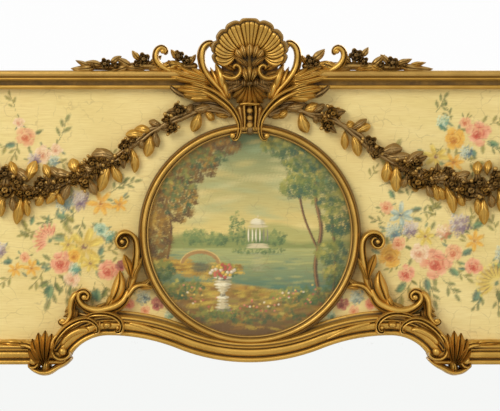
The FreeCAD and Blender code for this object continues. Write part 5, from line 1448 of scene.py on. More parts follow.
def crest_pieces():
    """Name, carving and CAD node of each piece on the middle line of the crest."""
    shell = Carving()
    shell.add(*shell_form())

    heart = Carving()
    heart.ball(0, TOP + 17, 24, 52, (1.0, 0.22, 0.72), 1.0, 40)
    heart.ball(0, TOP + 2, 17, 48, (1.0, 0.5, 1.1), 1.0, 30)
    for x, wide, tall in ((-21, 13, 31), (21, 13, 31), (-12, 13, 38), (12, 13, 38), (0, 15, 40)):
        heart.leaf((x * 0.5, TOP + 15), (x * 1.06, TOP + tall), wide, 54, 71 + (x == 0) * 3, cup=-0.45,
            rib=0.22, curl=0.22, tone=0.45, lift=0.5, fullest=0.66)
    for side in (-1, 1):
        heart.leaf((side * 6, TOP + 2), (side * 27, TOP + 19), 10, 52, 68, bend=side * 0.2, cup=-0.4,
            rib=0.25, tone=0.6, fullest=0.5)
        heart.leaf((side * 3, TOP + 1), (side * 13, TOP + 16), 7, 54, 68, bend=side * 0.12, tone=0.75)
        heart.leaf((side * 7, TOP - 16), (side * 11.5, TOP + 2), 8, 50, 68, bend=-side * 0.1, cup=-0.5,
            rib=0.12, tone=0.3, fullest=0.6)
    heart.leaf((0, TOP - 2), (0, TOP + 24), 6.5, 54, 72, cup=-0.6, rib=-0.1, tone=0.6, fullest=0.4)
    for x, tall, wide in ((-13, -4, 6), (13, -4, 6), (-8.5, 2, 7), (8.5, 2, 7), (0, 9, 9)):
        heart.leaf((x * 0.3, TOP - 23), (x, TOP + tall), wide, 50, 71 + (x == 0) * 2, cup=-0.5,
            rib=0.12, tone=0.25, fullest=0.66, blunt=0.55)

    volutes = Carving()
    curl = raised([(-58, -1), (-53, -7), (-46, -12), (-37, -16), (-28.5, -17), (-20.5, -13.5),
        (-15.8, -6.5), (-16.3, 1.2), (-21.5, 5.2), (-26.5, 2.4), (-24.5, -2.6)])
    for side in (-1, 1):
        volutes.scroll([(x * -side, z) for x, z in curl], (3, 6, 8, 8.8, 8.8, 8.4, 8, 7.4, 6.6, 5), 39,
            (58, 64, 68, 70, 71, 71.5, 72, 72, 72, 70), section=DOME)
        for bx, bz, tx, tz, wide, bend, tone in ((24, -4, 60, 11, 12, 0.16, 0.35),
                (28, 2, 58, 17, 8, 0.1, 0.7), (20, -18, 60, -9, 12, 0.2, 0.55),
                (16, -22, 56, -24, 13, 0.1, 0.9), (10, -24, 38, -37, 13, -0.1, 0.9),
                (34, -22, 62, -34, 12, 0.1, 0.85), (26, -30, 46, -50, 12, 0.1, 0.9)):
            volutes.leaf((side * bx, TOP + bz), (side * tx, TOP + tz), wide, 39, 61, bend=side * bend,
                tone=tone, veins=3)
    # Painted shadow: this band under the volutes is given the darkest tone, standing for the shade in
    # the channel there.
    volutes.band(raised([(-46, -26), (-22, -22), (0, -21), (22, -22), (46, -26)]), (14, 17, 18, 17, 14),
        39, (48, 49, 49, 49, 48), DOME, 1.0)
    for x in (-30, 30, -20, 20, -10, 10, 0):
        volutes.leaf((x, TOP - 15), (x * 1.1, TOP - 34 + abs(x) * 0.1), 12, 44, 58, cup=-0.4, rib=0.2,
            tone=0.8, fullest=0.6, blunt=0.5)

    fan = Carving()
    # A fan of pointed leaves that hangs from the heart, the middle one the longest.
    for x, z, wide, high, tone in ((12, -62, 13, 68, 0.0), (22, -57, 13, 66, 0.1),
            (29.5, -48, 12, 64, 0.25), (33.5, -38, 10, 60, 0.6)):
        for side in (-1, 1):
            fan.leaf((side * (3 + x * 0.08), TOP - 28), (side * x, TOP + z), wide, BOARD, high,
                bend=side * -0.14, cup=-0.62, rib=-0.1, fullest=0.66, blunt=0.6, tone=tone)
    fan.leaf((0, TOP - 26), (0, TOP - 64), 15, BOARD, 71, cup=-0.62, rib=-0.12, fullest=0.66, blunt=0.6)
    fan.band([(-18, TOP - 60), (-9, TOP - 59.5), (0, TOP - 59), (9, TOP - 59.5), (18, TOP - 60)],
        (4, 7, 8, 7, 4), BOARD, (60, 63, 64, 63, 60), DOME)

    drop = Carving()
    for side in (-1, 1):
        drop.band([(side * 10, TOP - 59), (side * 9.2, TOP - 84), (side * 8.2, TOP - 104)], (6, 6, 5),
            BOARD, (60, 60, 60), DOME, 0.15)
        drop.band([(side * 18, TOP - 60), (side * 15, TOP - 82), (side * 11.5, TOP - 106)], (13, 9, 5),
            BOARD, (53, 53, 55), DOME, 0.45)
    drop.band([(0, TOP - 57), (0, TOP - 82), (0, TOP - 90), (0, TOP - 112)], (15, 15, 15, 17), BOARD,
        (48, 49, 56.5, 57), DOME, 1.0)
    return (("cockle_shell_carved", shell, "cockle_shell"), ("shell_heart_carved", heart,
        "shell_heart"), ("volutes_carved", volutes, "shell_volutes"),
        ("palmette_carved", fan, "palmette"), ("drop_panel", drop, "bead_drop"))


def acanthus_form():
    """The long leaf that rises from the round frame and spreads to the side."""
    leaf = Carving()
    stem = raised([(-29, -113.5), (-27.5, -118), (-22.5, -118), (-18.4, -111), (-17, -100), (-19, -88),
        (-24.5, -76.5), (-34, -64.5), (-46, -53.5), (-59, -44.5), (-73, -37.5), (-87, -32.5),
        (-99, -29)])
    leaf.band(stem, (4, 7, 8.5, 9.5, 10.5, 12, 14, 16, 17, 17, 16, 12, 5), BOARD,
        (54, 58, 60, 62, 63, 65, 68, 70, 71, 71, 70, 68, 62), LEAF_STEM)
    leaf.ball(-28.8, TOP - 112.5, 4.6, 55)
    leaf.leaf((-64, TOP - 47), (-128, TOP - 33), 27, BOARD, 59, tone=0.35, veins=4)
    for base, tip, wide, high, bend in (((-62, -38), (-109, -22), 12, 71, -0.1),
            ((-62, -42), (-117, -30.5), 13.5, 70, -0.07), ((-62, -46), (-124, -37), 13.5, 68, -0.06),
            ((-60, -50), (-116, -45.5), 14, 66, -0.1)):
        leaf.leaf((base[0], TOP + base[1]), (tip[0], TOP + tip[1]), wide, BOARD, high, bend=bend,
            cup=-0.5, rib=0.1, fullest=0.55, blunt=0.5)
    leaf.band(raised([(-134, -28), (-129.5, -33.5), (-121, -40.5), (-108, -47.5)]), (4, 8, 9, 5), BOARD,
        (58, 63, 64, 60), REEDED, 0.9)
    leaf.leaf((-54, TOP - 57), (-98, TOP - 51), 13, BOARD, 62, bend=-0.16, cup=-0.5, rib=0.05, curl=0.3,
        fullest=0.75, blunt=0.5)
    # Painted shadow: this low leaf in the darkest tone stands for the shade under the curled lobe above
    # it.
    leaf.leaf((-48, TOP - 62), (-99, TOP - 60), 14, BOARD, 47, bend=-0.1, tone=1.0, veins=2)
    leaf.leaf((-42, TOP - 68), (-74, TOP - 66), 11, BOARD, 45, bend=0.1, tone=0.8)
    leaf.leaf((-34, TOP - 78), (-58, TOP - 75), 11, BOARD, 46, bend=0.16, tone=0.2)
    return leaf


def crest_scroll_form():
    """The stalk with a rolled tip beside the shell, and the leaves at its foot."""
    stalk = Carving()
    low = BOARD + 9
    stalk.band(raised([(-36.2, -59.6), (-41, -51), (-49, -39), (-60, -26.5), (-70.5, -12.5), (-77.6, 0),
        (-80.8, 11.5), (-81.2, 23.5), (-78, 34.5), (-71, 41.6), (-64, 42.5), (-61, 39)]),
        (4, 8, 10.5, 12, 13, 13.6, 14, 14, 13.6, 13, 12, 10), low,
        (56, 60, 63, 65, 67, 68, 68, 68, 69, 69, 69, 67), SCROLL)
    stalk.ball(-62, TOP + 38.5, 5.6, 60, (1, 1, 1.1))
    stalk.leaf((-62, TOP - 28), (-124, TOP - 10), 20, low, 56, bend=-0.05, tone=0.45, veins=4)
    for base, tip, wide, high, bend in (((-64, -26), (-141, -9), 11, 66, 0.07),
            ((-62, -23), (-140, 0.5), 11, 67, 0.05), ((-66, -21), (-118, 3), 11, 66, 0.03),
            ((-66, -18), (-97, 1), 11, 65, 0.05)):
        stalk.leaf((base[0], TOP + base[1]), (tip[0], TOP + tip[1]), wide, low, high, bend=bend,
            cup=-0.5, rib=0.1, fullest=0.5, blunt=0.5)
    # The husk between the stalk and the shell.
    stalk.leaf((-45, TOP - 36), (-57.5, TOP + 8), 15, low, 70, bend=-0.12, cup=-0.5, rib=0.04,
        blunt=0.6)
    stalk.leaf((-52, TOP - 34), (-66, TOP + 3), 10, low, 66, bend=-0.06, cup=-0.5, rib=0.04)
    stalk.leaf((-38, TOP - 50), (-50, TOP - 10), 13, low, 64, bend=-0.1, cup=-0.5, rib=0.04)
    stalk.leaf((-33, TOP - 52), (-35, TOP - 26), 10, low, 60, bend=0.15, cup=-0.5, rib=0.16)
    return stalk


def turned_head(name, profile, around, slot_half=0.0, dents=0.0, seed=0):
    """A turned head facing -y: (radius, height) from its foot to its crown, in millimetres."""
    rng = np.random.default_rng(seed)
    points, faces = [], []
    for radius, height in profile:
        for step in range(around):
            angle = 2 * math.pi * step / around
            reach = radius * (1 + dents * rng.normal() * 0.5)
            x, z = reach * math.cos(angle), reach * math.sin(angle)
            sunk = 0.9 if slot_half and abs(x) < slot_half and height > 1.2 else 0.0
            points.append((x * MM, -(height + dents * rng.normal() * 0.6 - sunk) * MM, z * MM))
    last = len(profile) - 1
    for ring in range(last):
        for step in range(around):
            nxt = (step + 1) % around
            faces.append((ring * around + step, ring * around + nxt, (ring + 1) * around + nxt,
                (ring + 1) * around + step))
    faces.append(tuple(range(around))[::-1])
    faces.append(tuple(last * around + step for step in range(around)))
    head = line_mesh(name, points, faces=faces)
    faces_outward(head.data)
    return head


def set_heads(name, head, places, size, finish, nodes, uneven=0.0, turn=0.0, tip=0.0):
    """Set a head on each place (x, out, z in millimetres) and finish them as one piece."""
    points = line_mesh(name + "_places", [(x * MM, -out * MM, z * MM) for x, out, z in places])
    piece = grown(name, repeated_tree(), {"Head": head, "Size": size, "Uneven": uneven, "Turn": turn,
        "Tip": tip, "Seed": sizes().hammer_seed, "Finish": finishes[finish]}, points)
    faces_outward(piece.data)
    set_values(piece.data, "tone", np.full(len(piece.data.vertices), TONE))
    piece.data.shade_smooth()
    piece.data.set_sharp_from_angle(angle=math.radians(40))
    bpy.data.objects.remove(head)
    return dressed(piece, finish, nodes=nodes)


def middles(node):
    """The place of each loose part of a CAD node, as seen from the front."""
    return [((low[0] + high[0]) / 2, (low[2] + high[2]) / 2) for low, high in islands(node)]


def islands(node):
    """The box of each loose part of a CAD node, in millimetres."""
    work = bmesh.new()
    work.from_mesh(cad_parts[node].data)
    bmesh.ops.remove_doubles(work, verts=work.verts, dist=1e-5)
    left, found = set(work.verts), []
    while left:
        group, edge = set(), [left.pop()]
        while edge:
            vert = edge.pop()
            group.add(vert)
            for link in vert.link_edges:
                other = link.other_vert(vert)
                if other in left:
                    left.discard(other)
                    edge.append(other)
        places = np.array([tuple(vert.co) for vert in group]) / MM
        found.append((places.min(0), places.max(0)))
    work.free()
    return sorted(found, key=lambda box: tuple(np.round(box[0], 2)))


class TRUMEAU_OT_beads(bpy.types.Operator):
    """String the beads of the drop under the palmette"""
    bl_idname = "trumeau.beads"
    bl_label = "Beads"

    def execute(self, context):
        radius = sizes().bead_radius / MM
        polar = np.linspace(0.16, 2.5, 11)
        profile = [(radius * math.sin(turn), radius * math.cos(turn) * -1.0) for turn in polar]
        head = turned_head("bead_head", profile, 22)
        set_heads("drop_beads", head, ((0, 55, TOP - 68.6), (0, 56, TOP - 81), (0, 61, TOP - 93.2)),
            0.98, "gold", ["bead_drop"], uneven=0.04, turn=0.4)
        return {"FINISHED"}


class TRUMEAU_OT_fasteners(bpy.types.Operator):
    """Hammer the nails of the backboards and drive the screws of the hangers"""
    bl_idname = "trumeau.fasteners"
    bl_label = "Nails and screws"

    def execute(self, context):
        nails, screws = middles("backboard_nails"), middles("hanger_screws")
        if not nails or not screws:
            raise RuntimeError("the CAD frame has no backboard nails or no hanger screws")
        # A lost head is driven into its hole until its crown is just under the board's back.
        radius = sizes().nail_head / MM
        head = turned_head("nail_head", [(0.7, -13.6), (radius * 0.72, -12), (radius * 0.72, -2.4),
            (radius, -1), (radius * 0.94, -0.4), (radius * 0.55, -0.15), (radius * 0.2, -0.1)], 10,
            dents=0.04, seed=sizes().hammer_seed)
        flipped(head)
        set_heads("nail_heads", head, [(x, NAIL_REST, z) for x, z in nails], 1.0, "steel",
            ["backboard_nails"], turn=3.1)
        radius = sizes().screw_head / MM
        head = turned_head("screw_head", [(1.7, -6.8), (1.7, -0.2), (radius, 0.0), (radius, 0.6),
            (radius * 0.86, 1.6), (radius * 0.5, 2.2), (0.5, 2.4)], 16, slot_half=0.7)
        flipped(head)
        set_heads("slotted_screws", head, [(x, SCREW_REST, z) for x, z in screws], 1.0, "steel",
            ["hanger_screws"], turn=1.2)
        return {"FINISHED"}


def flipped(head):
    """Turn a head to face the back."""
    for vert in head.data.vertices:
        vert.co.y = -vert.co.y
    faces_outward(head.data)


class TRUMEAU_OT_crest(bpy.types.Operator):
    """Carve the cockle shell, its heart and volutes, the palmette and the long leaves"""
    bl_idname = "trumeau.crest"
    bl_label = "Crest"

    def execute(self, context):
        for seed, (name, carving, node) in enumerate(crest_pieces()):
            slot = "darkened_gilding" if node == "shell_heart" else "gilding"
            carved(name, carving.opened(), nodes=[node], seed=seed)
        for flip, word in HANDS:
            carved(f"long_leaf_{word}", acanthus_form().opened(), flip, [f"acanthus_{word}"], seed=21)
            carved(f"stalk_{word}", crest_scroll_form().opened(), flip, [f"crest_scroll_{word}"],
                seed=22)
        return {"FINISHED"}


# ---- carving: along the top -------------------------------------------------------

TOP_BLOOMS = {"left": ((-246, 11, 11, 0.8), (-180, 19, 12, 0.8), (-192, 9, 9, 0.7),
    (-121, 24, 11, 0.85), (-106, 17, 10, 0.8), (-228, 8, 8, 0.6), (-266, 8, 7, 0.6),
    (-136, 10, 8, 0.7)), "right": ((102, 16, 12, 0.85), (112, 11, 9, 0.8), (181, 26, 13, 0.85),
    (193, 15, 10, 0.8), (242, 13, 12, 0.8), (222, 9, 8, 0.7), (130, 9, 8, 0.7), (262, 9, 7, 0.6))}
TOP_LEAVES = {"left": ((-262, 6, -304, 3, 14, 0.1), (-250, 8, -284, 13, 12, -0.1),
    (-200, 8, -228, 24, 13, 0.1), (-205, 8, -238, -1, 13, 0.1), (-170, 12, -150, 26, 12, -0.1),
    (-186, 18, -200, 34, 11, 0.1), (-236, 12, -218, 25, 11, 0.1), (-140, 8, -172, 4, 13, 0.0),
    (-120, 20, -134, 36, 11, 0.1), (-104, 12, -92, 28, 10, -0.1), (-126, 8, -108, 2, 12, 0.0),
    (-212, 5, -178, 1, 12, 0.0), (-272, 7, -296, 17, 9, 0.0)),
    "right": ((106, 18, 128, 37, 15, -0.1), (206, 8, 230, 27, 13, -0.1), (254, 8, 312, 3, 15, -0.1),
    (204, 9, 228, 0, 13, -0.1), (172, 14, 156, 30, 12, 0.1), (190, 24, 202, 40, 11, -0.1),
    (236, 12, 222, 27, 11, -0.1), (140, 8, 172, 4, 13, 0.0), (96, 12, 88, 27, 10, 0.1),
    (124, 8, 104, 2, 12, 0.0), (248, 12, 276, 20, 11, -0.1), (216, 5, 180, 1, 12, 0.0),
    (270, 8, 300, 14, 9, 0.0))}


def top_scroll_form():
    """The small scroll that rises from the top edge, and the leaf it springs from."""
    scroll = Carving()
    low = BOARD + 10
    scroll.scroll(raised([(-128, -7), (-140, -2), (-150.5, 4.5), (-157, 13.5), (-158.4, 23),
        (-155.4, 31), (-148.5, 35.3), (-142, 32.8), (-140.5, 27), (-145, 24)]),
        (7, 11, 12.5, 12.5, 12, 11.5, 11, 10, 8, 6), low, (56, 60, 62, 63, 64, 64, 64, 64, 63, 62),
        (-146, TOP + 28.5), 4.6)
    scroll.leaf((-150, TOP - 4), (-112, TOP + 8), 17, low, 60, bend=0.16, cup=-0.4, veins=3)
    scroll.leaf((-150, TOP - 6), (-106, TOP - 6), 12, low, 60, bend=0.06, cup=-0.4, veins=2)
    scroll.leaf((-138, TOP - 2), (-170, TOP - 2), 12, low, 56, bend=-0.1, tone=0.5)
    return scroll


class TRUMEAU_OT_top(bpy.types.Operator):
    """Carve the small scrolls, leaves and flowers along the top of the frame"""
    bl_idname = "trumeau.top"
    bl_label = "Top scrolls and sprays"

    def execute(self, context):
        low = BOARD + 8
        for side, word in SIDES:
            carved(f"small_scroll_{word}", top_scroll_form().opened(), side > 0, [f"top_scroll_{word}"],
                seed=31)
            spray = Carving()
            stem = [(side * 88, 8), (side * 130, 7), (side * 180, 8), (side * 226, 6), (side * 276, 5)]
            spray.band(raised(stem), (12, 14, 14, 12, 6), low, (50, 51, 51, 50, 46), REEDED, 0.5)
            for bx, bz, tx, tz, wide, bend in TOP_LEAVES[word]:
                tone = 0.15 if (int(abs(bx)) % 3 == 0) else 0.55
                spray.leaf((bx, TOP + bz), (tx, TOP + max(tz, -3)), wide, low, 58, bend=bend, tone=tone,
                    veins=2)
            for number, (x, z, radius, tone) in enumerate(TOP_BLOOMS[word]):
                spray.bloom(x, TOP + z, radius, low, 66, spin=number * 1.3, tone=tone,
                    tilt=(0.1 * math.sin(number * 2.1), 0.12))
            carved(f"top_spray_{word}_carved", spray, nodes=[f"top_spray_{word}"],
                seed=33 + side)
        return {"FINISHED"}


# ---- carving: garlands ------------------------------------------------------------

SWAG = {"left": ((-30, 1642), (-47, 1652), (-64, 1655), (-93, 1650), (-113, 1643), (-132, 1635),
    (-152, 1624), (-171, 1616), (-186, 1604), (-207, 1587), (-227, 1571), (-251, 1561), (-271, 1549),
    (-292, 1537), (-314, 1528), (-339, 1521), (-370, 1518)),
    "right": ((30, 1642), (45, 1650), (69, 1656), (86, 1652), (111, 1644), (137, 1639), (162, 1625),
    (184, 1610), (201, 1593), (218, 1581), (242, 1568), (264, 1554), (290, 1541), (324, 1532),
    (349, 1524), (370, 1519))}
# Flowers: x, z, radius. Leaves: base, tip, width and whether the leaf is bright.
SWAG_BLOOMS = {"left": ((-122, 1652, 14), (-134, 1624, 13), (-141, 1636, 10), (-212, 1592, 13),
    (-216, 1573, 13), (-198, 1600, 9), (-228, 1562, 9), (-268, 1562, 14), (-252, 1569, 10),
    (-280, 1531, 16), (-298, 1540, 12), (-300, 1533, 10), (-262, 1548, 11), (-320, 1534, 13),
    (-336, 1522, 12), (-355, 1528, 14), (-350, 1512, 12), (-284, 1551, 11), (-240, 1560, 9),
    (-366, 1514, 11)), "right": ((142, 1647, 15), (134, 1625, 12), (126, 1638, 10), (205, 1598, 13),
    (214, 1579, 11), (222, 1584, 9), (283, 1567, 14), (268, 1560, 11), (286, 1530, 17), (300, 1542, 12),
    (320, 1543, 13), (336, 1549, 10), (343, 1528, 14), (360, 1518, 13), (310, 1530, 11), (256, 1561, 9),
    (272, 1546, 11), (354, 1536, 10))}
SWAG_LEAVES = {"left": ((-98, 1652, -64, 1661, 15, 0), (-84, 1650, -97, 1616, 16, 1),
    (-76, 1650, -60, 1636, 12, 1), (-178, 1612, -211, 1612, 15, 1), (-166, 1619, -196, 1621, 14, 1),
    (-160, 1617, -156, 1590, 12, 0), (-168, 1611, -177, 1574, 16, 1), (-202, 1590, -196, 1546, 13, 1),
    (-188, 1604, -180, 1586, 11, 0), (-228, 1574, -270, 1576, 19, 0), (-232, 1570, -262, 1588, 13, 0),
    (-240, 1564, -257, 1514, 17, 1), (-236, 1564, -219, 1530, 14, 1), (-294, 1543, -302, 1571, 17, 1),
    (-260, 1552, -290, 1556, 16, 0), (-276, 1538, -262, 1508, 13, 0), (-304, 1528, -318, 1498, 14, 0),
    (-322, 1520, -346, 1494, 15, 1), (-318, 1538, -340, 1556, 13, 0), (-340, 1534, -352, 1560, 13, 1),
    (-330, 1512, -318, 1492, 11, 1), (-150, 1626, -172, 1634, 11, 0), (-108, 1646, -100, 1664, 11, 0),
    (-300, 1540, -340, 1544, 16, 0), (-352, 1512, -364, 1490, 13, 1)),
    "right": ((66, 1654, 46, 1641, 12, 1), (60, 1656, 94, 1662, 14, 0), (86, 1650, 98, 1614, 17, 1),
    (92, 1652, 118, 1663, 15, 1), (108, 1648, 128, 1662, 11, 0), (112, 1644, 114, 1630, 10, 0),
    (165, 1622, 178, 1631, 13, 1), (179, 1616, 206, 1626, 13, 1), (172, 1620, 200, 1638, 11, 0),
    (162, 1618, 162, 1586, 12, 1), (174, 1612, 185, 1575, 15, 1), (222, 1580, 260, 1588, 17, 0),
    (228, 1574, 276, 1575, 16, 0), (234, 1568, 231, 1530, 17, 1), (250, 1560, 250, 1514, 17, 1),
    (262, 1556, 296, 1582, 13, 0), (306, 1536, 342, 1546, 16, 0), (312, 1532, 322, 1498, 12, 1),
    (332, 1526, 348, 1478, 15, 1), (320, 1524, 332, 1500, 14, 1), (346, 1534, 376, 1546, 14, 0),
    (300, 1526, 312, 1504, 12, 0), (236, 1576, 246, 1594, 11, 0), (268, 1540, 262, 1520, 11, 0),
    (356, 1512, 366, 1490, 12, 1))}
OUTER = {-1: (((-416, 1545, 14), (-416, 1517, 19), (-376, 1511, 15), (-396, 1530, 14), (-436, 1534, 15),
    (-390, 1512, 12), (-448, 1552, 12)), ((-380, 1530, -364, 1566, 16, 1),
    (-396, 1540, -408, 1566, 14, 1), (-376, 1532, -400, 1552, 14, 0), (-388, 1506, -397, 1458, 15, 1),
    (-380, 1506, -378, 1472, 12, 1), (-404, 1508, -400, 1480, 12, 0), (-418, 1508, -424, 1472, 14, 1),
    (-430, 1546, -440, 1572, 12, 0))), 1: (((376, 1516, 19), (400, 1517, 14), (417, 1528, 14),
    (390, 1530, 13), (436, 1534, 15), (420, 1542, 11), (448, 1552, 12)),
    ((386, 1538, 389, 1566, 14, 1), (404, 1542, 409, 1568, 12, 1), (372, 1528, 350, 1546, 14, 0),
    (386, 1506, 390, 1474, 12, 1), (398, 1504, 400, 1458, 16, 1), (408, 1512, 412, 1486, 12, 0),
    (422, 1520, 428, 1478, 14, 1), (430, 1546, 442, 1572, 12, 0)))}
BEYOND_BLOOMS = ((0.36, 13, 13), (0.42, -9, 15), (0.5, 12, 12), (0.54, -8, 13), (0.62, 9, 14),
    (0.7, -8, 11), (0.76, 10, 12), (0.84, -5, 11), (0.9, 7, 10), (0.3, -2, 14))
BEYOND_LEAVES = ((0.34, -80, 38, 1), (0.4, 62, 28, 1), (0.46, -104, 34, 0), (0.5, 80, 24, 0),
    (0.56, -76, 40, 1), (0.6, -112, 30, 1), (0.66, 64, 30, 1), (0.72, -88, 30, 0), (0.78, -104, 36, 1),
    (0.8, 84, 24, 0), (0.86, -78, 30, 1), (0.92, 70, 22, 1), (0.95, -100, 28, 1))


def outer_stem(share):
    """A point on the swag between its lowest point and its rosette."""
    return 370 + 260 * share, 1519 + 121 * share ** 1.7


def clothe(garland, line, blooms, leaves, seed):
    """Twisted stems, leaves and flowers along one length of a garland."""
    rng = np.random.default_rng(seed)
    line = np.array(line, float)
    path = smooth(line, len(line) * 4)
    across = sideways(path)
    for strand in range(2):
        swing = np.sin(np.linspace(0, len(line) * 1.1, len(path)) + strand * math.pi) * 3.4
        points = path + across * swing[:, None]
        garland.band(points, (7, 8, 8, 7), BOARD, (45, 47, 47, 45), DOME, 0.9)
    for bx, bz, tx, tz, wide, bright in leaves:
        tone = 0.0 if bright else 0.8
        high = 51 if bright else 54
        garland.leaf((bx, bz), (tx, tz), wide * 1.18, BOARD, high, bend=rng.uniform(-0.14, 0.14),
            cup=-0.4, rib=0.1, curl=-0.1, tone=tone, lift=0.3, fullest=0.6, blunt=0.62, veins=3)
    for x, z, radius in blooms:
        garland.bloom(x, z, radius, BOARD, 58 + radius * 0.25, spin=rng.uniform(0, 6),
            tone=rng.uniform(0.3, 0.85), tilt=rng.uniform(-0.12, 0.12, 2), petals=5, open_=0.22)
        for _ in range(2):
            turn = rng.uniform(0, 6.28)
            garland.ball(x + math.cos(turn) * radius * 1.02, z + math.sin(turn) * radius * 1.02,
                rng.uniform(2.6, 4.2), BOARD + rng.uniform(12, 17), tone=0.45, around=12)
        turn = rng.uniform(0, 6.28)
        reach = radius * 1.5
        garland.leaf((x, z), (x + math.cos(turn) * reach, z + math.sin(turn) * reach), radius * 0.85,
            BOARD, 52, tone=0.9, rib=0.25)


class TRUMEAU_OT_garlands(bpy.types.Operator):
    """Carve the hanging garlands of flowers and the rosettes at their ends"""
    bl_idname = "trumeau.garlands"
    bl_label = "Garlands"

    def execute(self, context):
        rosettes = Carving()
        for side, word in SIDES:
            inner = Carving()
            clothe(inner, SWAG[word], SWAG_BLOOMS[word], SWAG_LEAVES[word], 50 + side)
            carved(f"garland_{word}_near", inner, nodes=[f"garland_{word}_inner"],
                seed=51)
            outer = Carving()
            blooms, leaves = OUTER[side]
            line = [(side * x, z) for x, z in map(outer_stem, np.linspace(0, 1, 12))]
            blooms, leaves = list(blooms), list(leaves)
            for share, lift, radius in BEYOND_BLOOMS:
                x, z = outer_stem(share)
                blooms.append((side * x, z + lift, radius))
            for share, degrees, length, bright in BEYOND_LEAVES:
                x, z = outer_stem(share)
                angle = math.radians(degrees)
                leaves.append((side * x, z, side * (x + length * math.cos(angle) * 0.7),
                    z + length * math.sin(angle), length * 0.4, bright))
            clothe(outer, line, blooms, leaves, 60 + side)
            carved(f"garland_{word}_far", outer, nodes=[f"garland_{word}_outer"],
                seed=53)
            x, z = side * (HALF - 70.0), TOP - 80.0
            for step in range(8):
                turn = step * math.pi / 4 + 0.4
                rosettes.leaf((x + math.cos(turn) * 8, z + math.sin(turn) * 8),
                    (x + math.cos(turn) * 31, z + math.sin(turn) * 31), 19, BOARD, 48, cup=-0.3,
                    rib=0.2, curl=0.25, tone=0.1)
            rosettes.bloom(x, z, 21, BOARD, 64, petals=6, tone=0.25, open_=0.1)
        carved("rosettes", rosettes, nodes=["garland_rosettes"], seed=55)
        return {"FINISHED"}


# ---- carving: beside the round frame ----------------------------------------------

def ring_scroll_form():
    """The scroll at the side of the round frame, with its two horn leaves."""
    scroll = Carving()
    volute = [(-205, 1346), (-197.8, 1361.6), (-193, 1386), (-190.4, 1403), (-189.6, 1419),
        (-192, 1432), (-199, 1441.4), (-208.8, 1444.6), (-218.2, 1441), (-222.8, 1431.4),
        (-218.6, 1422.2), (-210, 1421.6), (-205, 1429), (-208.5, 1435.8), (-213.6, 1434.6)]
    scroll.scroll(volute, (8, 11, 13.5, 14, 13, 12, 11.5, 11, 10.5, 10, 9.4, 8.6, 7.4, 6.4, 5), BOARD,
        (54, 56, 58, 60, 61, 61.6, 62, 62, 62, 62, 62, 62, 62, 62, 61), (-213.8, 1430.4), 3.6)
    scroll.leaf((-197.5, 1362), (-211, 1409), 15, BOARD, 62, bend=-0.06, cup=-0.35, rib=0.3,
        fullest=0.62)
    scroll.leaf((-197, 1360), (-180.5, 1403), 12, BOARD + 4, 64, bend=0.1, cup=-0.45, rib=0.2,
        fullest=0.55)
    scroll.leaf((-204, 1347), (-199, 1380), 9, BOARD, 60, bend=0.0, tone=0.5, fullest=0.4)
    scroll.band([(-216, 1328), (-204, 1341), (-194, 1352.5), (-181, 1357.6), (-167, 1357.5)],
        (8, 12, 12, 11, 9), BOARD, (56, 60, 61, 60, 57), REEDED)
    scroll.leaf((-186, 1352), (-160, 1352), 12, BOARD, 58, bend=0.2, cup=-0.5)
    scroll.leaf((-186, 1356), (-164, 1370), 11, BOARD, 57, bend=-0.2, cup=-0.5, tone=0.3)
    return scroll


def base_scroll_form():
    """The broad scroll on the serpentine moulding and the leaf that runs down from it."""
    scroll = Carving()
    broad = [(-202, 1352), (-206, 1339), (-214, 1327), (-228, 1318.5), (-246, 1313.6), (-265, 1314),
        (-280.5, 1322), (-288.2, 1334), (-286, 1344.6), (-276.6, 1347.6), (-269.4, 1341),
        (-271.6, 1333.4), (-277.6, 1332.4)]
    scroll.scroll(broad, (9, 13, 16, 18, 18, 17, 16, 14, 12.5, 11, 9.5, 8, 6), BOARD,
        (58, 61, 64, 65, 66, 66, 66, 65, 65, 65, 65, 65, 65), (-277, 1336.6), 4.4)
    scroll.leaf((-240, 1319), (-218, 1382), 22, BOARD, 63, bend=-0.24, cup=-0.3, rib=0.34, curl=0.1,
        fullest=0.56)
    scroll.leaf((-244, 1317), (-230, 1345), 15, BOARD + 4, 62, bend=-0.26, cup=-0.4, fullest=0.56)
    scroll.leaf((-262, 1317), (-238, 1330), 11, BOARD + 4, 61, bend=-0.2, tone=0.4)
    side = [(-281, 1345), (-290, 1341), (-296.4, 1331), (-299, 1319), (-299.6, 1307), (-304, 1297.5),
        (-311.5, 1291), (-318.5, 1294), (-316, 1299.5)]
    scroll.scroll(side, (8, 14, 15, 14, 13, 11, 10, 8, 6), BOARD, (56, 59, 60, 59, 58, 57, 57, 56, 56),
        (-313.4, 1296.2), 4.6)
    for base, tip, wide in (((-297, 1326), (-311, 1311), 11), ((-300, 1314), (-313, 1303), 9),
            ((-291, 1318), (-296, 1297), 9)):
        scroll.leaf(base, tip, wide, BOARD, 54, bend=0.15, tone=0.5)
    scroll.band([(-222, 1313), (-243, 1306), (-266, 1305), (-288, 1309)], (6, 9, 9, 5), BOARD,
        (52, 56, 56, 50), DOME, 0.6)
    return scroll


class TRUMEAU_OT_side_scrolls(bpy.types.Operator):
    """Carve the scrolls that carry the round frame"""
    bl_idname = "trumeau.side_scrolls"
    bl_label = "Side scrolls"

    def execute(self, context):
        for flip, word in HANDS:
            carved(f"ring_scroll_{word}_carved", ring_scroll_form().opened(), flip,
                [f"ring_scroll_{word}"], seed=61)
            carved(f"base_scroll_{word}_carved", base_scroll_form().opened(), flip,
                [f"base_scroll_{word}"], seed=62)
        return {"FINISHED"}


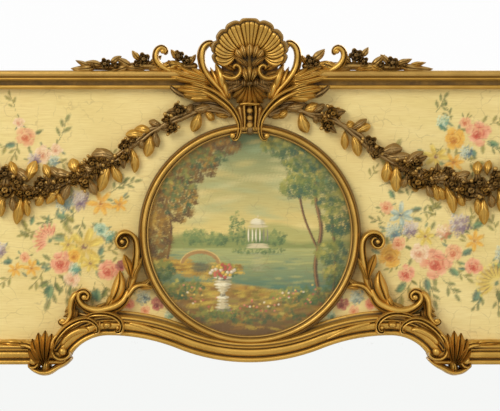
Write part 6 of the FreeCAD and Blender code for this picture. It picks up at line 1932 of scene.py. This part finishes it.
def corner_shell_form():
    """The fanned shell over the corner of the sight edge, between two small scrolls."""
    fan = Carving()
    front = BOARD + 25
    for tip, wide, bend in (((-375, 1250), 12, 0.1), ((-369, 1264), 13, 0.08), ((-359, 1274), 14, 0.04),
            ((-347, 1278), 14, 0.0), ((-336, 1273), 13, -0.06)):
        fan.leaf((-347, 1216), tip, wide, BOARD, front + 10, bend=bend, cup=0.28, rib=0.3, fullest=0.66,
            curl=0.12)
    fan.scroll([(-322, 1274), (-331, 1264), (-335.5, 1251), (-333, 1239), (-325, 1231.5), (-314, 1231),
        (-306.5, 1237), (-307, 1245)], (6, 9, 10, 10, 9, 8, 7, 5), BOARD,
        (62, 66, 68, 69, 69, 68, 66, 64), section=SCROLL)
    fan.ball(-317.5, 1242.5, 7.2, front + 2.5)
    fan.scroll([(-392, 1254), (-378, 1253), (-366, 1247), (-358.5, 1236), (-357.5, 1224),
        (-364, 1215.5), (-373, 1216), (-376, 1222)], (6, 9, 10, 10, 9, 8, 7, 5), BOARD,
        (60, 64, 67, 68, 68, 67, 65, 63), section=SCROLL)
    fan.ball(-367, 1227, 7, front + 2)
    fan.band([(-378, 1219), (-366, 1211), (-352, 1206.5), (-340, 1208), (-328, 1215), (-314, 1222),
        (-303, 1231)], (5, 9, 11, 11, 10, 8, 5), BOARD - 8, (58, 62, 65, 65, 63, 60, 56), DOME)
    fan.leaf((-348, 1206), (-344, 1236), 14, BOARD, 69, cup=-0.5, rib=0.15, fullest=0.4)
    fan.leaf((-350, 1250), (-398, 1262), 13, BOARD, 58, bend=0.1, veins=3)
    fan.leaf((-380, 1254), (-430, 1258), 12, BOARD, 55, bend=-0.05, veins=3)
    return fan


def arch_forms():
    """Raised straps over the arch, each ending in a hook."""
    straps = Carving()
    straps.band([(-333, 1243), (-330, 1255), (-322.5, 1270), (-308, 1286), (-290.5, 1297),
        (-274.4, 1300), (-261.6, 1295.6), (-254, 1287), (-254.6, 1278.6), (-262, 1277)],
        (7, 9, 10, 11, 11.5, 11.5, 11, 10, 8.5, 6), BOARD, (60, 64, 66, 67, 67.5, 67.5, 67, 66.5, 66,
        63), LEAF_STEM)
    straps.band([(-318, 1255), (-308, 1268), (-294, 1278), (-279, 1283), (-267, 1281)],
        (11, 14, 15, 14, 9), BOARD, (61, 63.5, 64, 64, 61), DOME)
    straps.scroll([(-276, 1303), (-262, 1308.5), (-246, 1310), (-231, 1307), (-218.5, 1299.5),
        (-213.4, 1289), (-216, 1279.6), (-223, 1278.5), (-225, 1284)],
        (6, 9, 10.5, 11, 11, 10.5, 10, 8.5, 6), BOARD, (58, 64, 66, 67, 67.5, 67.5, 67, 66, 63),
        (-220.8, 1286), 3.4, section=LEAF_STEM)
    straps.band([(-249, 1289.5), (-238, 1291), (-229, 1290)], (13, 14, 12), BOARD, (62, 64.5, 63), DOME)
    straps.band([(-251, 1300), (-252, 1280)], (5, 5), BOARD, (62, 62), DOME, 0.3)
    straps.band([(-205, 1294), (-190, 1291), (-172, 1285.5), (-150, 1276.5), (-126, 1266)],
        (9, 11, 11, 10, 5), BOARD, (58.5, 60.5, 60.5, 60, 57), DOME)
    return straps


class TRUMEAU_OT_corner_shells(bpy.types.Operator):
    """Carve the shells at the corners of the sight edge and the straps over its arches"""
    bl_idname = "trumeau.corner_shells"
    bl_label = "Corner shells"

    def execute(self, context):
        both = Carving()
        for flip, word in HANDS:
            carved(f"corner_shell_{word}_carved", corner_shell_form(), flip, [f"corner_shell_{word}"],
                seed=71)
            for v, q, t, tone in arch_forms().opened().shells:
                both.shells.append((*outward(v * (-1, 1, 1), q, t), tone) if flip else (v, q, t, tone))
        carved("arch_straps", both, nodes=["arch_leaves"], seed=72)
        return {"FINISHED"}


# ---- ageing and painted shade -----------------------------------------------------

def spread_out(grid, cells, rounds=3):
    """A grid blurred by running means along both of its directions."""
    for _ in range(rounds):
        for axis in (0, 1):
            pad = [(0, 0), (0, 0)]
            pad[axis] = (cells + 1, cells)
            total = np.cumsum(np.pad(grid, pad, "edge"), axis=axis)
            ahead = np.take(total, range(2 * cells + 1, total.shape[axis]), axis)
            behind = np.take(total, range(total.shape[axis] - 2 * cells - 1), axis)
            grid = (ahead - behind) / (2 * cells + 1)
    return grid


def mesh_arrays(mesh):
    """Corners, their normals, and the ends of each edge."""
    verts = np.empty(len(mesh.vertices) * 3, np.float32)
    normals = np.empty(len(mesh.vertices) * 3, np.float32)
    edges = np.empty(len(mesh.edges) * 2, np.int32)
    mesh.vertices.foreach_get("co", verts)
    mesh.vertices.foreach_get("normal", normals)
    mesh.edges.foreach_get("vertices", edges)
    return verts.reshape(-1, 3) / MM, normals.reshape(-1, 3), edges.reshape(-1, 2)


def hollowness(verts, normals, edges, rounds):
    """How far each corner lies below the smoothed surface round it, in millimetres."""
    count = len(verts)
    ends = np.concatenate([edges[:, 0], edges[:, 1]])
    others = np.concatenate([edges[:, 1], edges[:, 0]])
    share = np.maximum(np.bincount(ends, minlength=count), 1)[:, None]
    moved = verts.astype(float)
    for _ in range(rounds):
        mean = np.stack([np.bincount(ends, moved[others, axis], count) for axis in range(3)], 1)
        moved = 0.4 * moved + 0.6 * mean / share
    return ((moved - verts) * normals).sum(1)


class TRUMEAU_OT_ageing(bpy.types.Operator):
    """Work out the painted shade and patina of the hollows, and where leaf is rubbed, over all the
    gilding and paint
    """
    bl_idname = "trumeau.ageing"
    bl_label = "Wear and dirt"

    def execute(self, context):
        cell, highest = 2.0, 1840
        shape = (int(2 * HALF / cell) + 2, int(highest / cell) + 2)

        def cells(verts):
            """The column and row of the relief map over each corner."""
            return (np.clip(((verts[:, 0] + HALF) / cell).astype(int), 0, shape[0] - 1),
                np.clip((verts[:, 2] / cell).astype(int), 0, shape[1] - 1))

        relief = np.full(shape, BOARD)
        kept = []
        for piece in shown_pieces():
            finish = piece.data.materials[0].name
            if finish not in ("aged_gold", "painted_ground", "painted_picture"):
                continue
            verts, normals, edges = mesh_arrays(piece.data)
            kept.append((piece, finish, verts, normals, edges))
            np.maximum.at(relief, cells(verts), -verts[:, 1])
        near, wide = spread_out(relief, 2), spread_out(relief, 6)
        for piece, finish, verts, normals, edges in kept:
            out, where = -verts[:, 1], cells(verts)
            # sunk and deep: how far a point lies below the blurred relief round it, seen from the
            # front; both are painted shade.
            sunk = np.clip((near[where] - out) / 9, 0, 1)
            deep = np.clip((wide[where] - out) / 16, 0, 1)
            if finish == "aged_gold":
                # On the gilding: patina in the bends of the surface, and painted shade from the relief.
                bend = (hollowness(verts, normals, edges, 3) / 0.5
                    + hollowness(verts, normals, edges, 12) / 2.2)
                hollow = 0.26 + 0.30 * np.clip(bend, -1, 1.6) + 0.16 * sunk + 0.20 * deep
            else:
                # On the boards and the picture: only painted shade, round the carving and the round
                # frame.
                hollow = np.clip(0.75 * sunk + 0.5 * deep, 0, 1)
            set_values(piece.data, "hollow", np.clip(hollow, 0, 1))
        return {"FINISHED"}


# ---- stage ------------------------------------------------------------------------

def soft_light(name, place, aim, size, power, tint=(1, 1, 1)):
    """A square soft light turned towards a point."""
    light = bpy.data.lights.new(name, "AREA")
    light.shape, light.size, light.energy, light.color = "SQUARE", size, power, tint
    lamp = bpy.data.objects.new(name, light)
    lamp.location = place
    lamp.rotation_euler = (Vector(aim) - Vector(place)).to_track_quat("-Z", "Y").to_euler()
    bpy.context.scene.collection.objects.link(lamp)


class TRUMEAU_OT_stage(bpy.types.Operator):
    """Set the floor, the lights and the camera"""
    bl_idname = "trumeau.stage"
    bl_label = "Stage"

    def execute(self, context):
        scene = context.scene
        mesh = bpy.data.meshes.new("floor")
        reach = 9.0
        mesh.from_pydata([(-reach, -reach, 0), (reach, -reach, 0), (reach, reach, 0),
            (-reach, reach, 0)], [], [(0, 1, 2, 3)])
        floor = bpy.data.objects.new("floor", mesh)
        scene.collection.objects.link(floor)
        f = Finish("pale_floor")
        mesh.materials.append(f.made(Base_Color=(0.86, 0.86, 0.855, 1), Roughness=0.75))
        floor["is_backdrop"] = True

        world = bpy.data.worlds.new("studio")
        scene.world = world
        world.use_nodes = True
        nodes, links = world.node_tree.nodes, world.node_tree.links
        ground = nodes["Background"]
        ground.inputs["Color"].default_value = (0.62, 0.62, 0.635, 1)
        ground.inputs["Strength"].default_value = 0.7
        bright = nodes.new("ShaderNodeBackground")
        bright.inputs["Color"].default_value = (0.985, 0.985, 0.985, 1)
        path, mixed = nodes.new("ShaderNodeLightPath"), nodes.new("ShaderNodeMixShader")
        seen = nodes.new("ShaderNodeMath")
        seen.operation = "MAXIMUM"
        links.new(path.outputs["Is Camera Ray"], seen.inputs[0])
        links.new(path.outputs["Is Glossy Ray"], seen.inputs[1])
        links.new(seen.outputs[0], mixed.inputs[0])
        links.new(ground.outputs[0], mixed.inputs[1])
        links.new(bright.outputs[0], mixed.inputs[2])
        links.new(mixed.outputs[0], nodes["World Output"].inputs["Surface"])

        soft_light("key", (-1.9, -2.6, 3.3), (0, 0, 1.35), 1.8, 74, (1.0, 0.985, 0.95))
        soft_light("fill", (2.6, -2.8, 1.6), (0, 0, 1.2), 2.4, 24, (0.98, 0.99, 1.0))
        soft_light("behind", (1.5, 2.8, 2.6), (0, 0, 0.9), 2.4, 45)

        camera = bpy.data.cameras.new("camera")
        camera.lens, camera.sensor_width = 191.0, 36.0
        camera.clip_start, camera.clip_end = 0.1, 100
        eye = bpy.data.objects.new("camera", camera)
        eye.location = (0.0005, -4.56, 1.4905)
        eye.rotation_euler = (math.radians(90), 0, 0)
        scene.collection.objects.link(eye)
        scene.camera = eye
        scene.view_settings.view_transform = "Standard"
        return {"FINISHED"}


class TRUMEAU_OT_finishes(bpy.types.Operator):
    """Mix the finishes"""
    bl_idname = "trumeau.finishes"
    bl_label = "Finishes"

    def execute(self, context):
        make_finishes()
        return {"FINISHED"}


STEPS = (TRUMEAU_OT_finishes, TRUMEAU_OT_stage, TRUMEAU_OT_carcass, TRUMEAU_OT_mouldings,
    TRUMEAU_OT_apron, TRUMEAU_OT_ring, TRUMEAU_OT_boards, TRUMEAU_OT_medallion, TRUMEAU_OT_crest,
    TRUMEAU_OT_top, TRUMEAU_OT_garlands, TRUMEAU_OT_side_scrolls, TRUMEAU_OT_corner_shells,
    TRUMEAU_OT_beads, TRUMEAU_OT_fasteners, TRUMEAU_OT_ageing)


class TRUMEAU_PT_panel(bpy.types.Panel):
    """The pieces of the mirror, in the order they are made"""
    bl_idname = "TRUMEAU_PT_panel"
    bl_label = "Trumeau mirror"
    bl_space_type = "VIEW_3D"
    bl_region_type = "UI"
    bl_category = "Trumeau"

    def draw(self, context):
        for group in (context.scene.trumeau_sizes, context.scene.trumeau_colours):
            for key in group.bl_rna.properties.keys():
                if key not in ("rna_type", "name"):
                    self.layout.prop(group, key)
        for step in STEPS:
            self.layout.operator(step.bl_idname)


CLASSES = (TrumeauSizes, TrumeauColours, *STEPS, TRUMEAU_PT_panel)


def register():
    for kind in CLASSES:
        bpy.utils.register_class(kind)
    bpy.types.Scene.trumeau_sizes = PointerProperty(type=TrumeauSizes)
    bpy.types.Scene.trumeau_colours = PointerProperty(type=TrumeauColours)


def unregister():
    del bpy.types.Scene.trumeau_colours
    del bpy.types.Scene.trumeau_sizes
    for kind in reversed(CLASSES):
        bpy.utils.unregister_class(kind)


def main():
    """Make every piece in order."""
    register()
    for step in STEPS:
        group, name = step.bl_idname.split(".")
        getattr(getattr(bpy.ops, group), name)()


if __name__ == "__main__":
    main()
